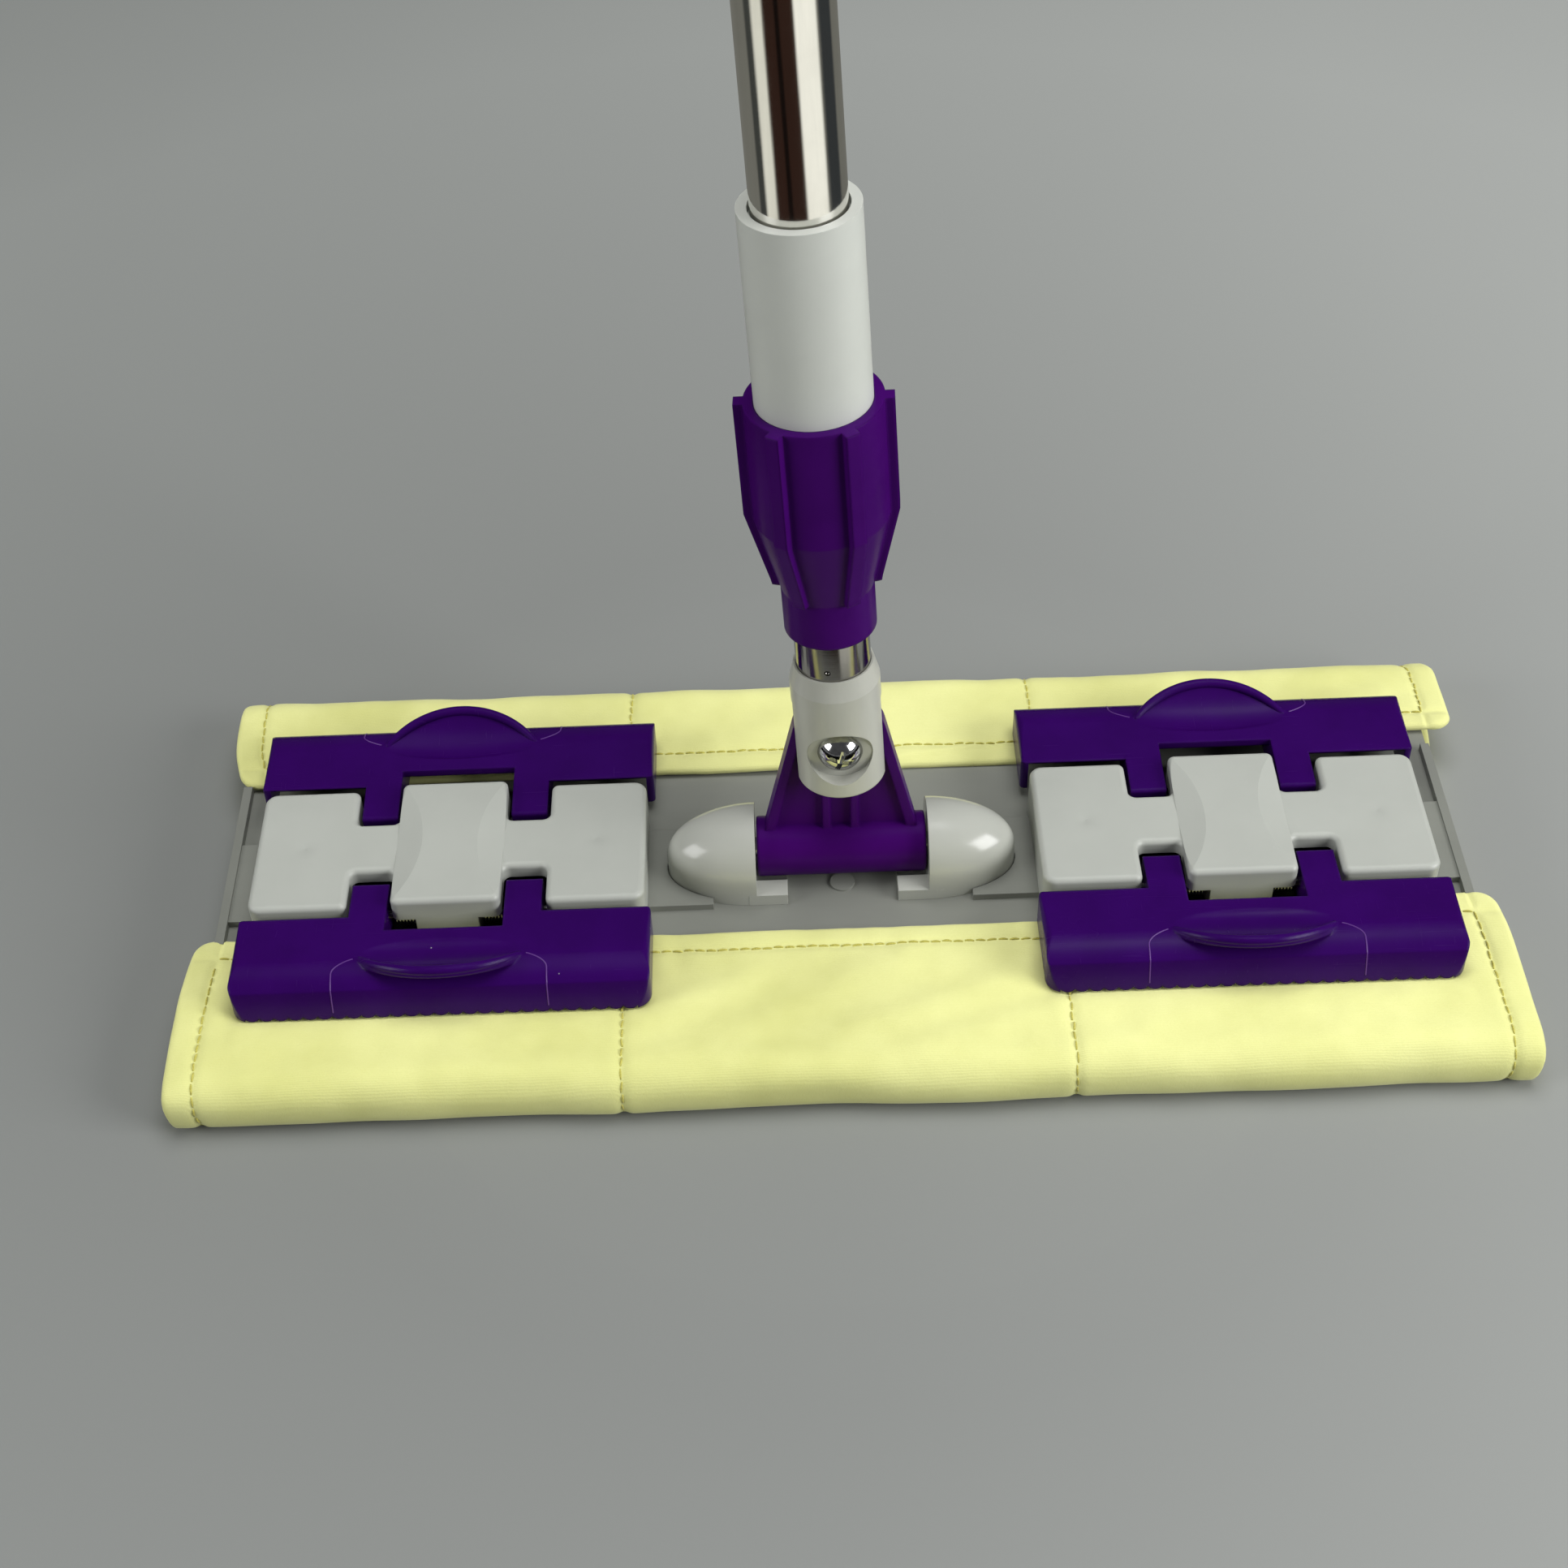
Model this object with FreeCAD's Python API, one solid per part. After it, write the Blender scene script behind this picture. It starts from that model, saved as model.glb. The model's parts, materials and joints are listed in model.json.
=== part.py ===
"""Flat mop: a plate with four sprung cloth clips, a swivel yoke and a telescopic pole.

Frame: origin on the floor below the middle of the plate, +X along the plate, +Y to the back,
+Z up. Millimetres. Each piece is written to parts/ as its own STEP file.
"""
import FreeCAD, Part
import math
import os

# ---------------------------------------------------------------- driving dimensions

# plate
plate_length = 385.0
plate_width = 158.0
plate_height = 9.7
plate_skin = 2.6
plate_wall = 2.5
plate_corner = 10.0
plate_edge_round = 1.5
plate_rib = 1.6
plate_cells_long = 10
plate_cells_across = 4
rim_thickness = 2.8
rim_height = 2.8
strip_half_width = 16.3
strip_height = 2.3
strip_inset = 13.5
gate_boss_radius = 3.8
gate_boss_height = 0.7
gate_boss_y = -7.0

# mop cloth
cloth_pad = 4.7
cloth_flap = 3.2
cloth_overhang = 8.5
cloth_side = 5.7
cloth_fold_round = 7.5
cloth_end_inset = 6.5
front_flap_gap = 0.5
back_flap_edge = 42.3
soft_gap = 0.3

# pivot brackets, axle and yoke
barrel_radius = 9.4
barrel_half_length = 26.0
barrel_floor_gap = 1.1
barrel_edge_round = 0.8
axle_radius = 3.0
axle_engagement = 14.0
axle_chamfer = 0.5
axle_boss_wall = 3.0
axle_boss_end = 2.0
bracket_gap = 0.5
dome_radius = 15.3
dome_length = 27.5
dome_drop = 2.3
dome_wall = 2.5
foot_reach = 9.5
foot_top = 4.3
foot_trough_gap = 1.4
yoke_rise = 45.8
yoke_head_radius = 14.2
yoke_foot_inset = 2.5
yoke_foot_sink = 1.6
yoke_half_thickness = 2.8
yoke_web_half = 1.0
yoke_flange = 3.0
yoke_rib_x = 4.3
yoke_rib_width = 2.3
yoke_hub_radius = 8.0

# clip covers
module_inset = 12.0
cover_height = 16.5
cover_wall = 2.2
cover_half_length = 60.1
cover_half_depth = 24.8
lobe_inner_x = 30.2
cover_corner = 4.0
notch_corner = 2.2
cover_edge_round = 1.8
neck_half_depth = 10.0
neck_skirt = 5.2
neck_corner = 2.5
neck_overlap = 4.0
hump_half_width = 16.5
hump_half_depth = 25.3
hump_rise = 2.2
hump_skirt = 6.0
hump_roof = 4.0
hump_waist = 8.5
hump_cone_radius = 43.0
tongue_half_width = 9.5
tongue_rib = 3.0
tongue_drop = 2.0
post_inner_y = 13.0
cover_screw_inset = 15.1

# clip jaws
hinge_inset = 5.8
hinge_rise = 6.05
hinge_pin_radius = 1.5
hinge_pin_grip = 2.8
jaw_overhang = 2.0
jaw_cover_gap = 2.7
jaw_top_drop = 1.4
jaw_top_width = 16.5
jaw_top_climb = 1.2
jaw_shoulder = (6.8, 1.2)
jaw_crease = (10.5, 3.5)
jaw_shoulder_lean_deg = 30.0
jaw_crease_lean_deg = 70.0
jaw_face_lean = 3.1
jaw_wall = 2.4
jaw_outer_corner = 5.5
jaw_end_round = 2.5
jaw_inner_corner = 1.5
jaw_sweep_gap = 0.87
jaw_mouth_gap = 8.2
jaw_rib = 2.2
arm_hump_gap = 1.3
arm_lobe_gap = 1.2
arm_tail_gap = 3.7
arm_tail_drop = 1.9
arm_tail_height = 7.3
arm_tail_round = 1.0
arm_knuckle_radius = 3.4
arm_bottom_reach = 5.0
arm_bottom_rise = 4.8
arm_merge = 3.0
tooth_pitch = 4.3
tooth_depth = 1.0
tooth_margin = 4.05

# finger tab of a jaw
tab_setback = 0.4
tab_half_width = 25.4
tab_reach = 12.7
tab_slope_deg = 27.8
tab_thickness = 3.0
tab_root = 7.0
tab_edge_round = 0.9
dish_half_width = 40.0
dish_half_reach = 10.1
dish_half_depth = 5.5
dish_centre_reach = 4.0
dish_centre_height = 4.0

# clip springs
spring_wire_radius = 0.5
spring_tail_radius = 0.45
spring_core = 0.4
spring_mean_radius = 2.7
spring_gap = 0.8
spring_turns = 6
spring_hook_deg = 150.0
spring_hook = 3.4
spring_hook_hole = 0.85
spring_tail_y = 8.0

# screws
screw_radius = 1.45
screw_head_radius = 3.2
screw_head_height = 2.4
screw_seat = 4.0
screw_boss_radius = 5.2
screw_hole_radius = 1.7
screw_pocket_radius = 3.6
screw_cross = (2.9, 0.8, 1.1)
pilot_boss_radius = 3.4
cover_screw_reach = 9.0
bracket_screw_reach = 9.5
dome_boss_radius = 3.0
dome_side_screw = (6.5, 5.5)
dome_tip_screw = 20.0
screw_tip_gap = 0.5

# socket, bolt and nut
socket_drop = 15.2
socket_rise = 28.4
socket_chamfer_rise = 6.3
socket_wall = 2.3
socket_neck_wall = 0.7
socket_slot_roof = 0.8
socket_slot_gap = 0.2
socket_web = 2.5
socket_edge_round = 1.2
stem_reach = 18.0
dimple_rise = 3.2
dimple_radius = 0.9
dimple_turn_deg = -10.0
bolt_radius = 2.95
bolt_head_radius = 6.7
bolt_head_height = 4.9
bolt_recess_radius = 9.6
bolt_cheek = 6.0
bolt_short = 0.5
bolt_cross = (6.8, 1.5, 2.2)
bolt_cross_deg = 20.0
nut_flats = 10.0
nut_height = 4.5
nut_cheek = 4.6

# tubes
inner_tube_radius = 11.0
tube_wall = 0.7
tube_play = 0.8
inner_tube_length = 592.0
outer_tube_length = 561.0
bush_length = 22.0
bush_flange = 2.0
bush_wall = 1.6
fit = 0.05
slide_fit = 0.06

# twist lock
tube_show = 13.6
collar_nose = 15.0
collar_cone = 24.0
collar_barrel = 36.4
collar_nose_wall = 2.3
collar_wall = 3.0
collar_bore_gap = 0.3
collar_fins = 6
fin_height = 2.5
fin_nose_height = 2.1
fin_nose_climb = 0.4
fin_toe_rise = 1.5
fin_nose_rise = 3.5
fin_root = 1.5
fin_thickness = 4.2
fin_first_deg = -63.0
sleeve_wall = 3.5
sleeve_show = 56.9
sleeve_rim_wall = 2.9
sleeve_rim_depth = 2.5
sleeve_thread = 34.0
tube_seat = 19.0
collet_length = 26.0
collet_wall = 1.0
collet_slots = 4
collet_slot_width = 1.6
collet_slot_end = 4.0

# grip and end cap
grip_length = 123.0
grip_wall = 2.5
grip_groove_depth = 0.8
grip_ring_radius = 2.8
grip_grooves = 6
cap_plug = 20.0
cap_flange = 6.0
cap_edge = 2.0
eye_radius = 11.0
eye_half_thickness = 4.5
eye_rise = 15.0
hanging_hole_radius = 5.0

# how the pole leans at rest
lean_back_deg = 2.95
lean_side_deg = -2.47

# ---------------------------------------------------------------- heights worked out from these

plate_bottom = cloth_pad + soft_gap
plate_top = plate_bottom + plate_height
strip_top = plate_top + strip_height
barrel_z = plate_top + barrel_floor_gap + barrel_radius
bolt_z = barrel_z + yoke_rise
cover_top = plate_top + cover_height
hinge_z = plate_top + hinge_rise
flap_top = plate_top + soft_gap + cloth_flap
bite_z = flap_top + soft_gap
bracket_face = barrel_half_length + bracket_gap
axle_half_length = barrel_half_length + axle_engagement
cloth_half_length = plate_length / 2 + cloth_overhang
cover_screw_x = cover_half_length - cover_screw_inset
module_centre = plate_length / 2 - module_inset - cover_half_length
front_flap_edge = hump_half_depth + front_flap_gap
spring_start_x = tongue_half_width + spring_gap

# clip jaw, with the module centre as origin
hinge_y = cover_half_depth - hinge_inset
hinge_pin_half_length = lobe_inner_x + hinge_pin_grip
jaw_half_length = cover_half_length + jaw_overhang
jaw_inner_y = cover_half_depth + jaw_cover_gap
jaw_inner_z = cover_top - jaw_top_drop
jaw_crest_y = jaw_inner_y + jaw_top_width
jaw_crest_z = jaw_inner_z + jaw_top_climb
jaw_slope = jaw_top_climb / jaw_top_width
jaw_crease_y = jaw_crest_y + jaw_crease[0]
jaw_crease_z = jaw_crest_z - jaw_crease[1]
jaw_bite_y = jaw_crease_y + jaw_face_lean
jaw_mouth_y = hump_half_depth + jaw_mouth_gap
jaw_sweep_radius = (math.hypot(hinge_inset - cover_edge_round, cover_top - cover_edge_round - hinge_z)
                    + cover_edge_round + jaw_sweep_gap)
arm_inner_x = hump_half_width + arm_hump_gap
arm_outer_x = lobe_inner_x - arm_lobe_gap
arm_tail_y = neck_half_depth + arm_tail_gap
arm_bottom_z = plate_top + arm_bottom_rise

# heights along the pole, measured from the floor while it stands upright
socket_bottom = bolt_z - socket_drop
socket_top = bolt_z + socket_rise
socket_slot_top = bolt_z + yoke_head_radius + socket_slot_roof
socket_floor = socket_slot_top + socket_web
inner_tube_top = socket_floor + inner_tube_length
collar_bottom = socket_top + tube_show
collar_shoulder = collar_bottom + collar_nose
collar_cone_top = collar_shoulder + collar_cone
collar_top = collar_cone_top + collar_barrel
sleeve_shoulder = collar_top - sleeve_thread
sleeve_top = collar_top + sleeve_show
collet_bottom = sleeve_shoulder - collet_length
outer_tube_bottom = sleeve_shoulder + tube_seat
outer_tube_top = outer_tube_bottom + outer_tube_length

# radii along the pole
outer_tube_radius = inner_tube_radius + tube_play + tube_wall
socket_radius = inner_tube_radius + socket_wall
socket_neck_radius = inner_tube_radius + socket_neck_wall
sleeve_radius = outer_tube_radius + sleeve_wall
collar_nose_radius = inner_tube_radius + collar_nose_wall
collar_radius = sleeve_radius + collar_wall
fin_radius = collar_radius + fin_height
fin_nose_radius = collar_nose_radius + fin_nose_height
grip_radius = outer_tube_radius + grip_wall

# how far a cutting shape runs past what it cuts, and a span past the whole mop
over = 1.0
wide = 2 * (plate_length + outer_tube_top)


# ---------------------------------------------------------------- helpers

def vec(x, y, z):
    return FreeCAD.Vector(x, y, z)


X_AXIS = vec(1, 0, 0)
Y_AXIS = vec(0, 1, 0)
Z_AXIS = vec(0, 0, 1)
ORIGIN = vec(0, 0, 0)


def block(x_span, y_span, z_span):
    """Box between three (low, high) spans."""
    size = [high - low for low, high in (x_span, y_span, z_span)]
    return Part.makeBox(*size, vec(x_span[0], y_span[0], z_span[0]))


def rod_x(radius, x_span, y, z):
    return Part.makeCylinder(radius, x_span[1] - x_span[0], vec(x_span[0], y, z), X_AXIS)


def rod_y(radius, y_span, x, z):
    return Part.makeCylinder(radius, y_span[1] - y_span[0], vec(x, y_span[0], z), Y_AXIS)


def rod_z(radius, z_span, x=0.0, y=0.0):
    return Part.makeCylinder(radius, z_span[1] - z_span[0], vec(x, y, z_span[0]), Z_AXIS)


def fused(shapes):
    """One solid from shapes that touch or overlap."""
    first, rest = shapes[0], list(shapes[1:])
    return first.fuse(rest).removeSplitter() if rest else first


def turned(points):
    """Solid of revolution about Z from a closed outline of (radius, height) points."""
    corners = [vec(r, 0, z) for r, z in points]
    outline = Part.makePolygon(corners + corners[:1])
    return Part.Face(outline).revolve(ORIGIN, Z_AXIS, 360)


def outline_yz(points):
    """Closed wire in the YZ plane; a point given as ("arc", mid, end) is an arc through mid."""
    edges = []
    last = points[0]
    for item in points[1:] + points[:1]:
        if item[0] == "arc":
            mid, end = item[1], item[2]
            edges.append(Part.Arc(vec(0, *last), vec(0, *mid), vec(0, *end)).toShape())
            last = end
        else:
            edges.append(Part.LineSegment(vec(0, *last), vec(0, *item)).toShape())
            last = item
    return Part.Wire(edges)


def along_x(points, x_span):
    """Prism of a YZ outline between two X values."""
    face = Part.Face(outline_yz(points))
    face.translate(vec(x_span[0], 0, 0))
    return face.extrude(vec(x_span[1] - x_span[0], 0, 0))


def edges_where(shape, test):
    """Edges whose middle point passes the test."""
    return [e for e in shape.Edges if test(e.CenterOfMass, e)]


def is_upright(edge):
    box = edge.BoundBox
    return box.XLength < 1e-3 and box.YLength < 1e-3


def rounded_block(x_span, y_span, z_span, corner_at, top_round):
    """Box with rounded upright corners, corner_at(x) giving each radius, and a rounded top."""
    body = block(x_span, y_span, z_span)
    for side in x_span:
        near = edges_where(body, lambda c, e: is_upright(e) and abs(c.x - side) < 1e-3)
        body = body.makeFillet(corner_at(side), near)
    top = edges_where(body, lambda c, e: e.BoundBox.ZMin > z_span[1] - 1e-3)
    return body.makeFillet(top_round, top) if top_round else body


def mirrored_x(shape):
    return shape.mirror(ORIGIN, X_AXIS)


def turned_round(shape):
    """Copy turned half a turn about Z."""
    copy = shape.copy()
    copy.rotate(ORIGIN, Z_AXIS, 180)
    return copy


def moved(shape, x, y=0.0, z=0.0):
    copy = shape.copy()
    copy.translate(vec(x, y, z))
    return copy


def on_yoke(shape):
    """Lean an upright piece back about the axle."""
    copy = shape.copy()
    copy.rotate(vec(0, 0, barrel_z), X_AXIS, -lean_back_deg)
    return copy


def on_pole(shape):
    """Lean an upright piece sideways about the bolt, then back about the axle."""
    copy = shape.copy()
    copy.rotate(vec(0, 0, bolt_z), Y_AXIS, lean_side_deg)
    return on_yoke(copy)


def save(name, shape):
    solids = shape.Solids
    whole = solids[0] if len(solids) == 1 else Part.makeCompound(solids)
    if not whole.isValid():
        raise ValueError(name + " is not a valid solid")
    whole.exportStep(os.path.join("parts", name + ".step"))
    print(name, len(solids), "solid(s)", round(whole.Volume / 1000, 2), "cm3")


# ---------------------------------------------------------------- screws

def screw(x, y, length_above_plate):
    """Pan-head screw driven up from below the plate."""
    seat = plate_bottom + screw_seat
    head = rod_z(screw_head_radius, (seat - screw_head_height, seat), x, y)
    shank = rod_z(screw_radius, (seat, plate_top + length_above_plate), x, y)
    length, width, depth = screw_cross
    cuts = (seat - screw_head_height, seat - screw_head_height + depth)
    cross = [block((x - a / 2, x + a / 2), (y - b / 2, y + b / 2), cuts)
             for a, b in ((length, width), (width, length))]
    return head.fuse(shank).cut(fused(cross)).removeSplitter()


def cover_screw_spots(centre):
    return [(centre - cover_screw_x, 0.0), (centre, 0.0), (centre + cover_screw_x, 0.0)]


def bracket_screw_spots(side):
    x = side * (bracket_face + dome_side_screw[0])
    y = dome_radius - dome_side_screw[1]
    return [(side * (bracket_face + dome_tip_screw), 0.0), (x, y), (x, -y)]


def all_screw_spots():
    spots = []
    for side in (-1, 1):
        spots += cover_screw_spots(side * module_centre) + bracket_screw_spots(side)
    return spots


# ---------------------------------------------------------------- plate

def dome_footprint(gap):
    """Upright elliptical prism that clears the right-hand dome by a gap."""
    ellipse = Part.Ellipse(vec(bracket_face, 0, 0), dome_length + gap, dome_radius + gap)
    face = Part.Face(Part.Wire(ellipse.toShape()))
    face.translate(vec(0, 0, plate_top))
    return face.extrude(vec(0, 0, strip_height + over))


def base_plate():
    half_x = plate_length / 2
    half_y = plate_width / 2
    body = rounded_block((-half_x, half_x), (-half_y, half_y), (plate_bottom, plate_top),
                         lambda side: plate_corner, 0)
    below = edges_where(body, lambda c, e: e.BoundBox.ZMax < plate_bottom + 1e-3)
    body = body.makeFillet(plate_edge_round, below)
    cell_x = (plate_length - 2 * plate_wall + plate_rib) / plate_cells_long
    cell_y = (plate_width - 2 * plate_wall + plate_rib) / plate_cells_across
    cells = []
    for column in range(plate_cells_long):
        x = -half_x + plate_wall + column * cell_x
        for row in range(plate_cells_across):
            y = -half_y + plate_wall + row * cell_y
            cells.append(block((x, x + cell_x - plate_rib), (y, y + cell_y - plate_rib),
                               (plate_bottom - over, plate_top - plate_skin)))
    corners = rounded_block((-half_x + plate_wall, half_x - plate_wall),
                            (-half_y + plate_wall, half_y - plate_wall),
                            (plate_bottom - over, plate_top),
                            lambda side: plate_corner - plate_wall, 0)
    body = body.cut(Part.makeCompound(cells).common(corners))
    rim = block((half_x - rim_thickness, half_x),
                (-front_flap_edge + soft_gap, back_flap_edge - soft_gap),
                (plate_top, plate_top + rim_height))
    strip = block((bracket_face + strip_inset, half_x - rim_thickness),
                  (-strip_half_width, strip_half_width), (plate_top, strip_top)).cut(dome_footprint(soft_gap))
    gate_boss = rod_z(gate_boss_radius, (plate_top, plate_top + gate_boss_height), 0, gate_boss_y)
    added = [rim, mirrored_x(rim), strip, mirrored_x(strip), gate_boss]
    added += [rod_z(screw_boss_radius, (plate_bottom, plate_top), x, y) for x, y in all_screw_spots()]
    body = fused([body] + added)
    holes = []
    for x, y in all_screw_spots():
        holes.append(rod_z(screw_hole_radius, (plate_bottom, strip_top), x, y))
        holes.append(rod_z(screw_pocket_radius, (plate_bottom, plate_bottom + screw_seat), x, y))
    return body.cut(Part.makeCompound(holes))


# ---------------------------------------------------------------- pivot

def elliptic_face(ellipse, first, last, corners):
    """Face between an arc of an ellipse and straight lines through the given corners."""
    arc = Part.ArcOfEllipse(ellipse, first, last).toShape()
    points = [arc.valueAt(arc.LastParameter)] + corners + [arc.valueAt(arc.FirstParameter)]
    lines = [Part.LineSegment(a, b).toShape() for a, b in zip(points, points[1:])]
    return Part.Face(Part.Wire([arc] + lines))


def dome(length, radius, x_start):
    """Quarter of an ellipsoid just below the axle line, with upright walls under it."""
    centre = vec(x_start, 0, barrel_z - dome_drop)
    ellipse = Part.Ellipse(centre, length, radius)
    crown = elliptic_face(ellipse, 0, math.pi / 2, [centre]).revolve(centre, X_AXIS, 180)
    wall = elliptic_face(ellipse, -math.pi / 2, math.pi / 2, [])
    return crown.fuse(wall.extrude(vec(0, 0, plate_top - centre.z)))


def pivot_bracket():
    """Right-hand bracket: dome, axle boss, screw bosses and the two toes beside the barrel."""
    shell = dome(dome_length, dome_radius, bracket_face)
    inside = dome(dome_length - 2 * dome_wall, dome_radius - dome_wall, bracket_face + dome_wall)
    boss = rod_x(axle_radius + axle_boss_wall, (bracket_face, axle_half_length + axle_boss_end), 0, barrel_z)
    posts = [rod_z(dome_boss_radius, (plate_top, barrel_z + dome_radius), x, y)
             for x, y in bracket_screw_spots(1)]
    inner_parts = fused([boss] + posts).common(shell)
    foot = block((bracket_face - foot_reach, bracket_face + dome_wall),
                 (-dome_radius, dome_radius), (plate_top, plate_top + foot_top))
    trough = rod_x(barrel_radius + foot_trough_gap,
                   (bracket_face - foot_reach - over, bracket_face), 0, barrel_z)
    body = shell.cut(inside).fuse([inner_parts, foot.cut(trough)])
    holes = [rod_x(axle_radius + fit, (bracket_face - over, axle_half_length + fit), 0, barrel_z)]
    for x, y in bracket_screw_spots(1):
        top = plate_top + bracket_screw_reach + screw_tip_gap
        holes.append(rod_z(screw_radius + fit, (plate_top - over, top), x, y))
    return body.cut(Part.makeCompound(holes))


def pivot_axle():
    body = rod_x(axle_radius, (-axle_half_length, axle_half_length), 0, barrel_z)
    return body.makeChamfer(axle_chamfer, edges_where(body, lambda c, e: abs(c.x) > axle_half_length - 1e-3))


def yoke_outline(inset):
    """Face of the yoke's plate: two slanted sides that run up onto a round head."""
    head = yoke_head_radius - inset
    foot_z = barrel_z + barrel_radius - yoke_foot_sink
    foot_x = barrel_half_length - yoke_foot_inset - inset
    reach = math.hypot(foot_x, bolt_z - foot_z)
    bearing = math.atan2(bolt_z - foot_z, -foot_x)
    swing = math.acos(head / reach)
    angle = math.pi + bearing + swing
    touch = (head * math.cos(angle), bolt_z + head * math.sin(angle))
    if touch[0] < 0:
        touch = (-touch[0], touch[1])
    right = [vec(foot_x, 0, barrel_z), vec(foot_x, 0, foot_z), vec(touch[0], 0, touch[1])]
    left = [vec(-p.x, 0, p.z) for p in right]
    edges = [Part.LineSegment(left[0], right[0]).toShape(),
             Part.LineSegment(right[0], right[1]).toShape(),
             Part.LineSegment(right[1], right[2]).toShape(),
             Part.Arc(right[2], vec(0, 0, bolt_z + head), left[2]).toShape(),
             Part.LineSegment(left[2], left[1]).toShape(),
             Part.LineSegment(left[1], left[0]).toShape()]
    return Part.Face(Part.Wire(edges))


def thick_y(face, half):
    """Face in the XZ plane thickened both ways along Y."""
    copy = face.copy()
    copy.translate(vec(0, -half, 0))
    return copy.extrude(vec(0, 2 * half, 0))


def pivot_yoke():
    frame = thick_y(yoke_outline(0), yoke_half_thickness)
    window = thick_y(yoke_outline(yoke_flange), yoke_half_thickness)
    web = thick_y(yoke_outline(yoke_flange / 2), yoke_web_half)
    half = yoke_rib_width / 2
    span = (-yoke_half_thickness, yoke_half_thickness)
    ribs = [block((x - half, x + half), span, (barrel_z, bolt_z))
            for x in (-yoke_rib_x, yoke_rib_x)]
    hub = rod_y(yoke_hub_radius, span, 0, bolt_z)
    barrel = rod_x(barrel_radius, (-barrel_half_length, barrel_half_length), 0, barrel_z)
    rims = edges_where(barrel, lambda c, e: abs(abs(c.x) - barrel_half_length) < 1e-3)
    barrel = barrel.makeFillet(barrel_edge_round, rims)
    body = fused([frame.cut(window), web, hub, barrel] + ribs)
    bores = [rod_x(axle_radius + fit, (-wide, wide), 0, barrel_z),
             rod_y(bolt_radius + 2 * fit, (-wide, wide), 0, bolt_z)]
    return on_yoke(body.cut(Part.makeCompound(bores)))


# ---------------------------------------------------------------- clip covers

def cover_lobe():
    spans = ((lobe_inner_x, cover_half_length), (-cover_half_depth, cover_half_depth))
    outside = rounded_block(*spans, (plate_top, cover_top),
                            lambda side: cover_corner if side > lobe_inner_x else notch_corner,
                            cover_edge_round)
    inside = block((lobe_inner_x + cover_wall, cover_half_length - cover_wall),
                   (-cover_half_depth + cover_wall, cover_half_depth - cover_wall),
                   (plate_top - over, cover_top - cover_wall))
    return outside, inside


def cover_hump():
    low = cover_top - hump_skirt
    high = cover_top + hump_rise
    body = block((-hump_half_width, hump_half_width), (-hump_half_depth, hump_half_depth), (low, high))
    body = body.makeFillet(notch_corner, edges_where(body, lambda c, e: is_upright(e)))
    ends = edges_where(body, lambda c, e: e.BoundBox.ZMin > high - 1e-3
                       and abs(c.x) < hump_half_width - 0.1)
    body = body.makeFillet(cover_edge_round, ends)
    axis_x = hump_waist + hump_cone_radius
    lower = axis_x - hump_half_width
    cone = Part.makeCone(lower, hump_cone_radius, hump_rise, vec(axis_x, 0, cover_top), Z_AXIS)
    body = body.cut(cone).cut(mirrored_x(cone))
    inside = block((-hump_half_width + cover_wall, hump_half_width - cover_wall),
                   (-hump_half_depth + cover_wall, hump_half_depth - cover_wall),
                   (plate_top - over, high - hump_roof))
    return body, inside


def cover_neck():
    """Right-hand half of the neck, its inner corners swept into the hump and the lobe."""
    low = cover_top - neck_skirt
    half = neck_half_depth + neck_corner
    body = block((0, lobe_inner_x + neck_overlap), (-half, half), (low, cover_top))
    notch = block((hump_half_width, lobe_inner_x), (neck_half_depth, wide), (low - over, cover_top + over))
    swept = edges_where(notch, lambda c, e: is_upright(e) and c.y < neck_half_depth + 1e-3)
    notch = notch.makeFillet(neck_corner, swept)
    body = body.cut(notch).cut(turned_round(mirrored_x(notch)))
    tops = edges_where(body, lambda c, e: e.BoundBox.ZMin > cover_top - 1e-3
                       and hump_half_width - 1e-3 < c.x < lobe_inner_x + 1e-3
                       and neck_half_depth - 1e-3 < abs(c.y) < half - 1e-3)
    return body.makeFillet(cover_edge_round, tops)


def clip_cover():
    """Cover centred on X = 0: two lobes, a narrow neck and the raised hump between them."""
    lobe, lobe_inside = cover_lobe()
    hump, hump_inside = cover_hump()
    neck = cover_neck()
    neck_inside = block((-lobe_inner_x - neck_overlap, lobe_inner_x + neck_overlap),
                        (-neck_half_depth + cover_wall, neck_half_depth - cover_wall),
                        (plate_top - over, cover_top - cover_wall))
    tongue = block((-tongue_half_width, tongue_half_width),
                   (hump_half_depth - cover_wall, hump_half_depth),
                   (plate_top, cover_top - tongue_drop))
    rib = block((tongue_half_width - tongue_rib, tongue_half_width),
                (post_inner_y, hump_half_depth), (plate_top, cover_top - over))
    outside = fused([lobe, mirrored_x(lobe), neck, mirrored_x(neck), hump])
    body = outside.cut(fused([lobe_inside, mirrored_x(lobe_inside), hump_inside, neck_inside]))
    posts = [tongue, turned_round(tongue)]
    posts += [rib, mirrored_x(rib), turned_round(rib), turned_round(mirrored_x(rib))]
    posts += [rod_z(pilot_boss_radius, (strip_top, cover_top - over), x, 0)
              for x, _ in cover_screw_spots(0)]
    body = fused([body] + posts)
    cuts = [block((-wide, wide), (-strip_half_width, strip_half_width), (plate_top - over, strip_top))]
    for y in (-hinge_y, hinge_y):
        cuts.append(rod_x(hinge_pin_radius + fit,
                          (-hinge_pin_half_length - fit, hinge_pin_half_length + fit), y, hinge_z))
    top = plate_top + cover_screw_reach + screw_tip_gap
    cuts += [rod_z(screw_radius + fit, (plate_top, top), x, 0) for x, _ in cover_screw_spots(0)]
    return body.cut(Part.makeCompound(cuts))


# ---------------------------------------------------------------- clip jaws

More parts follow.
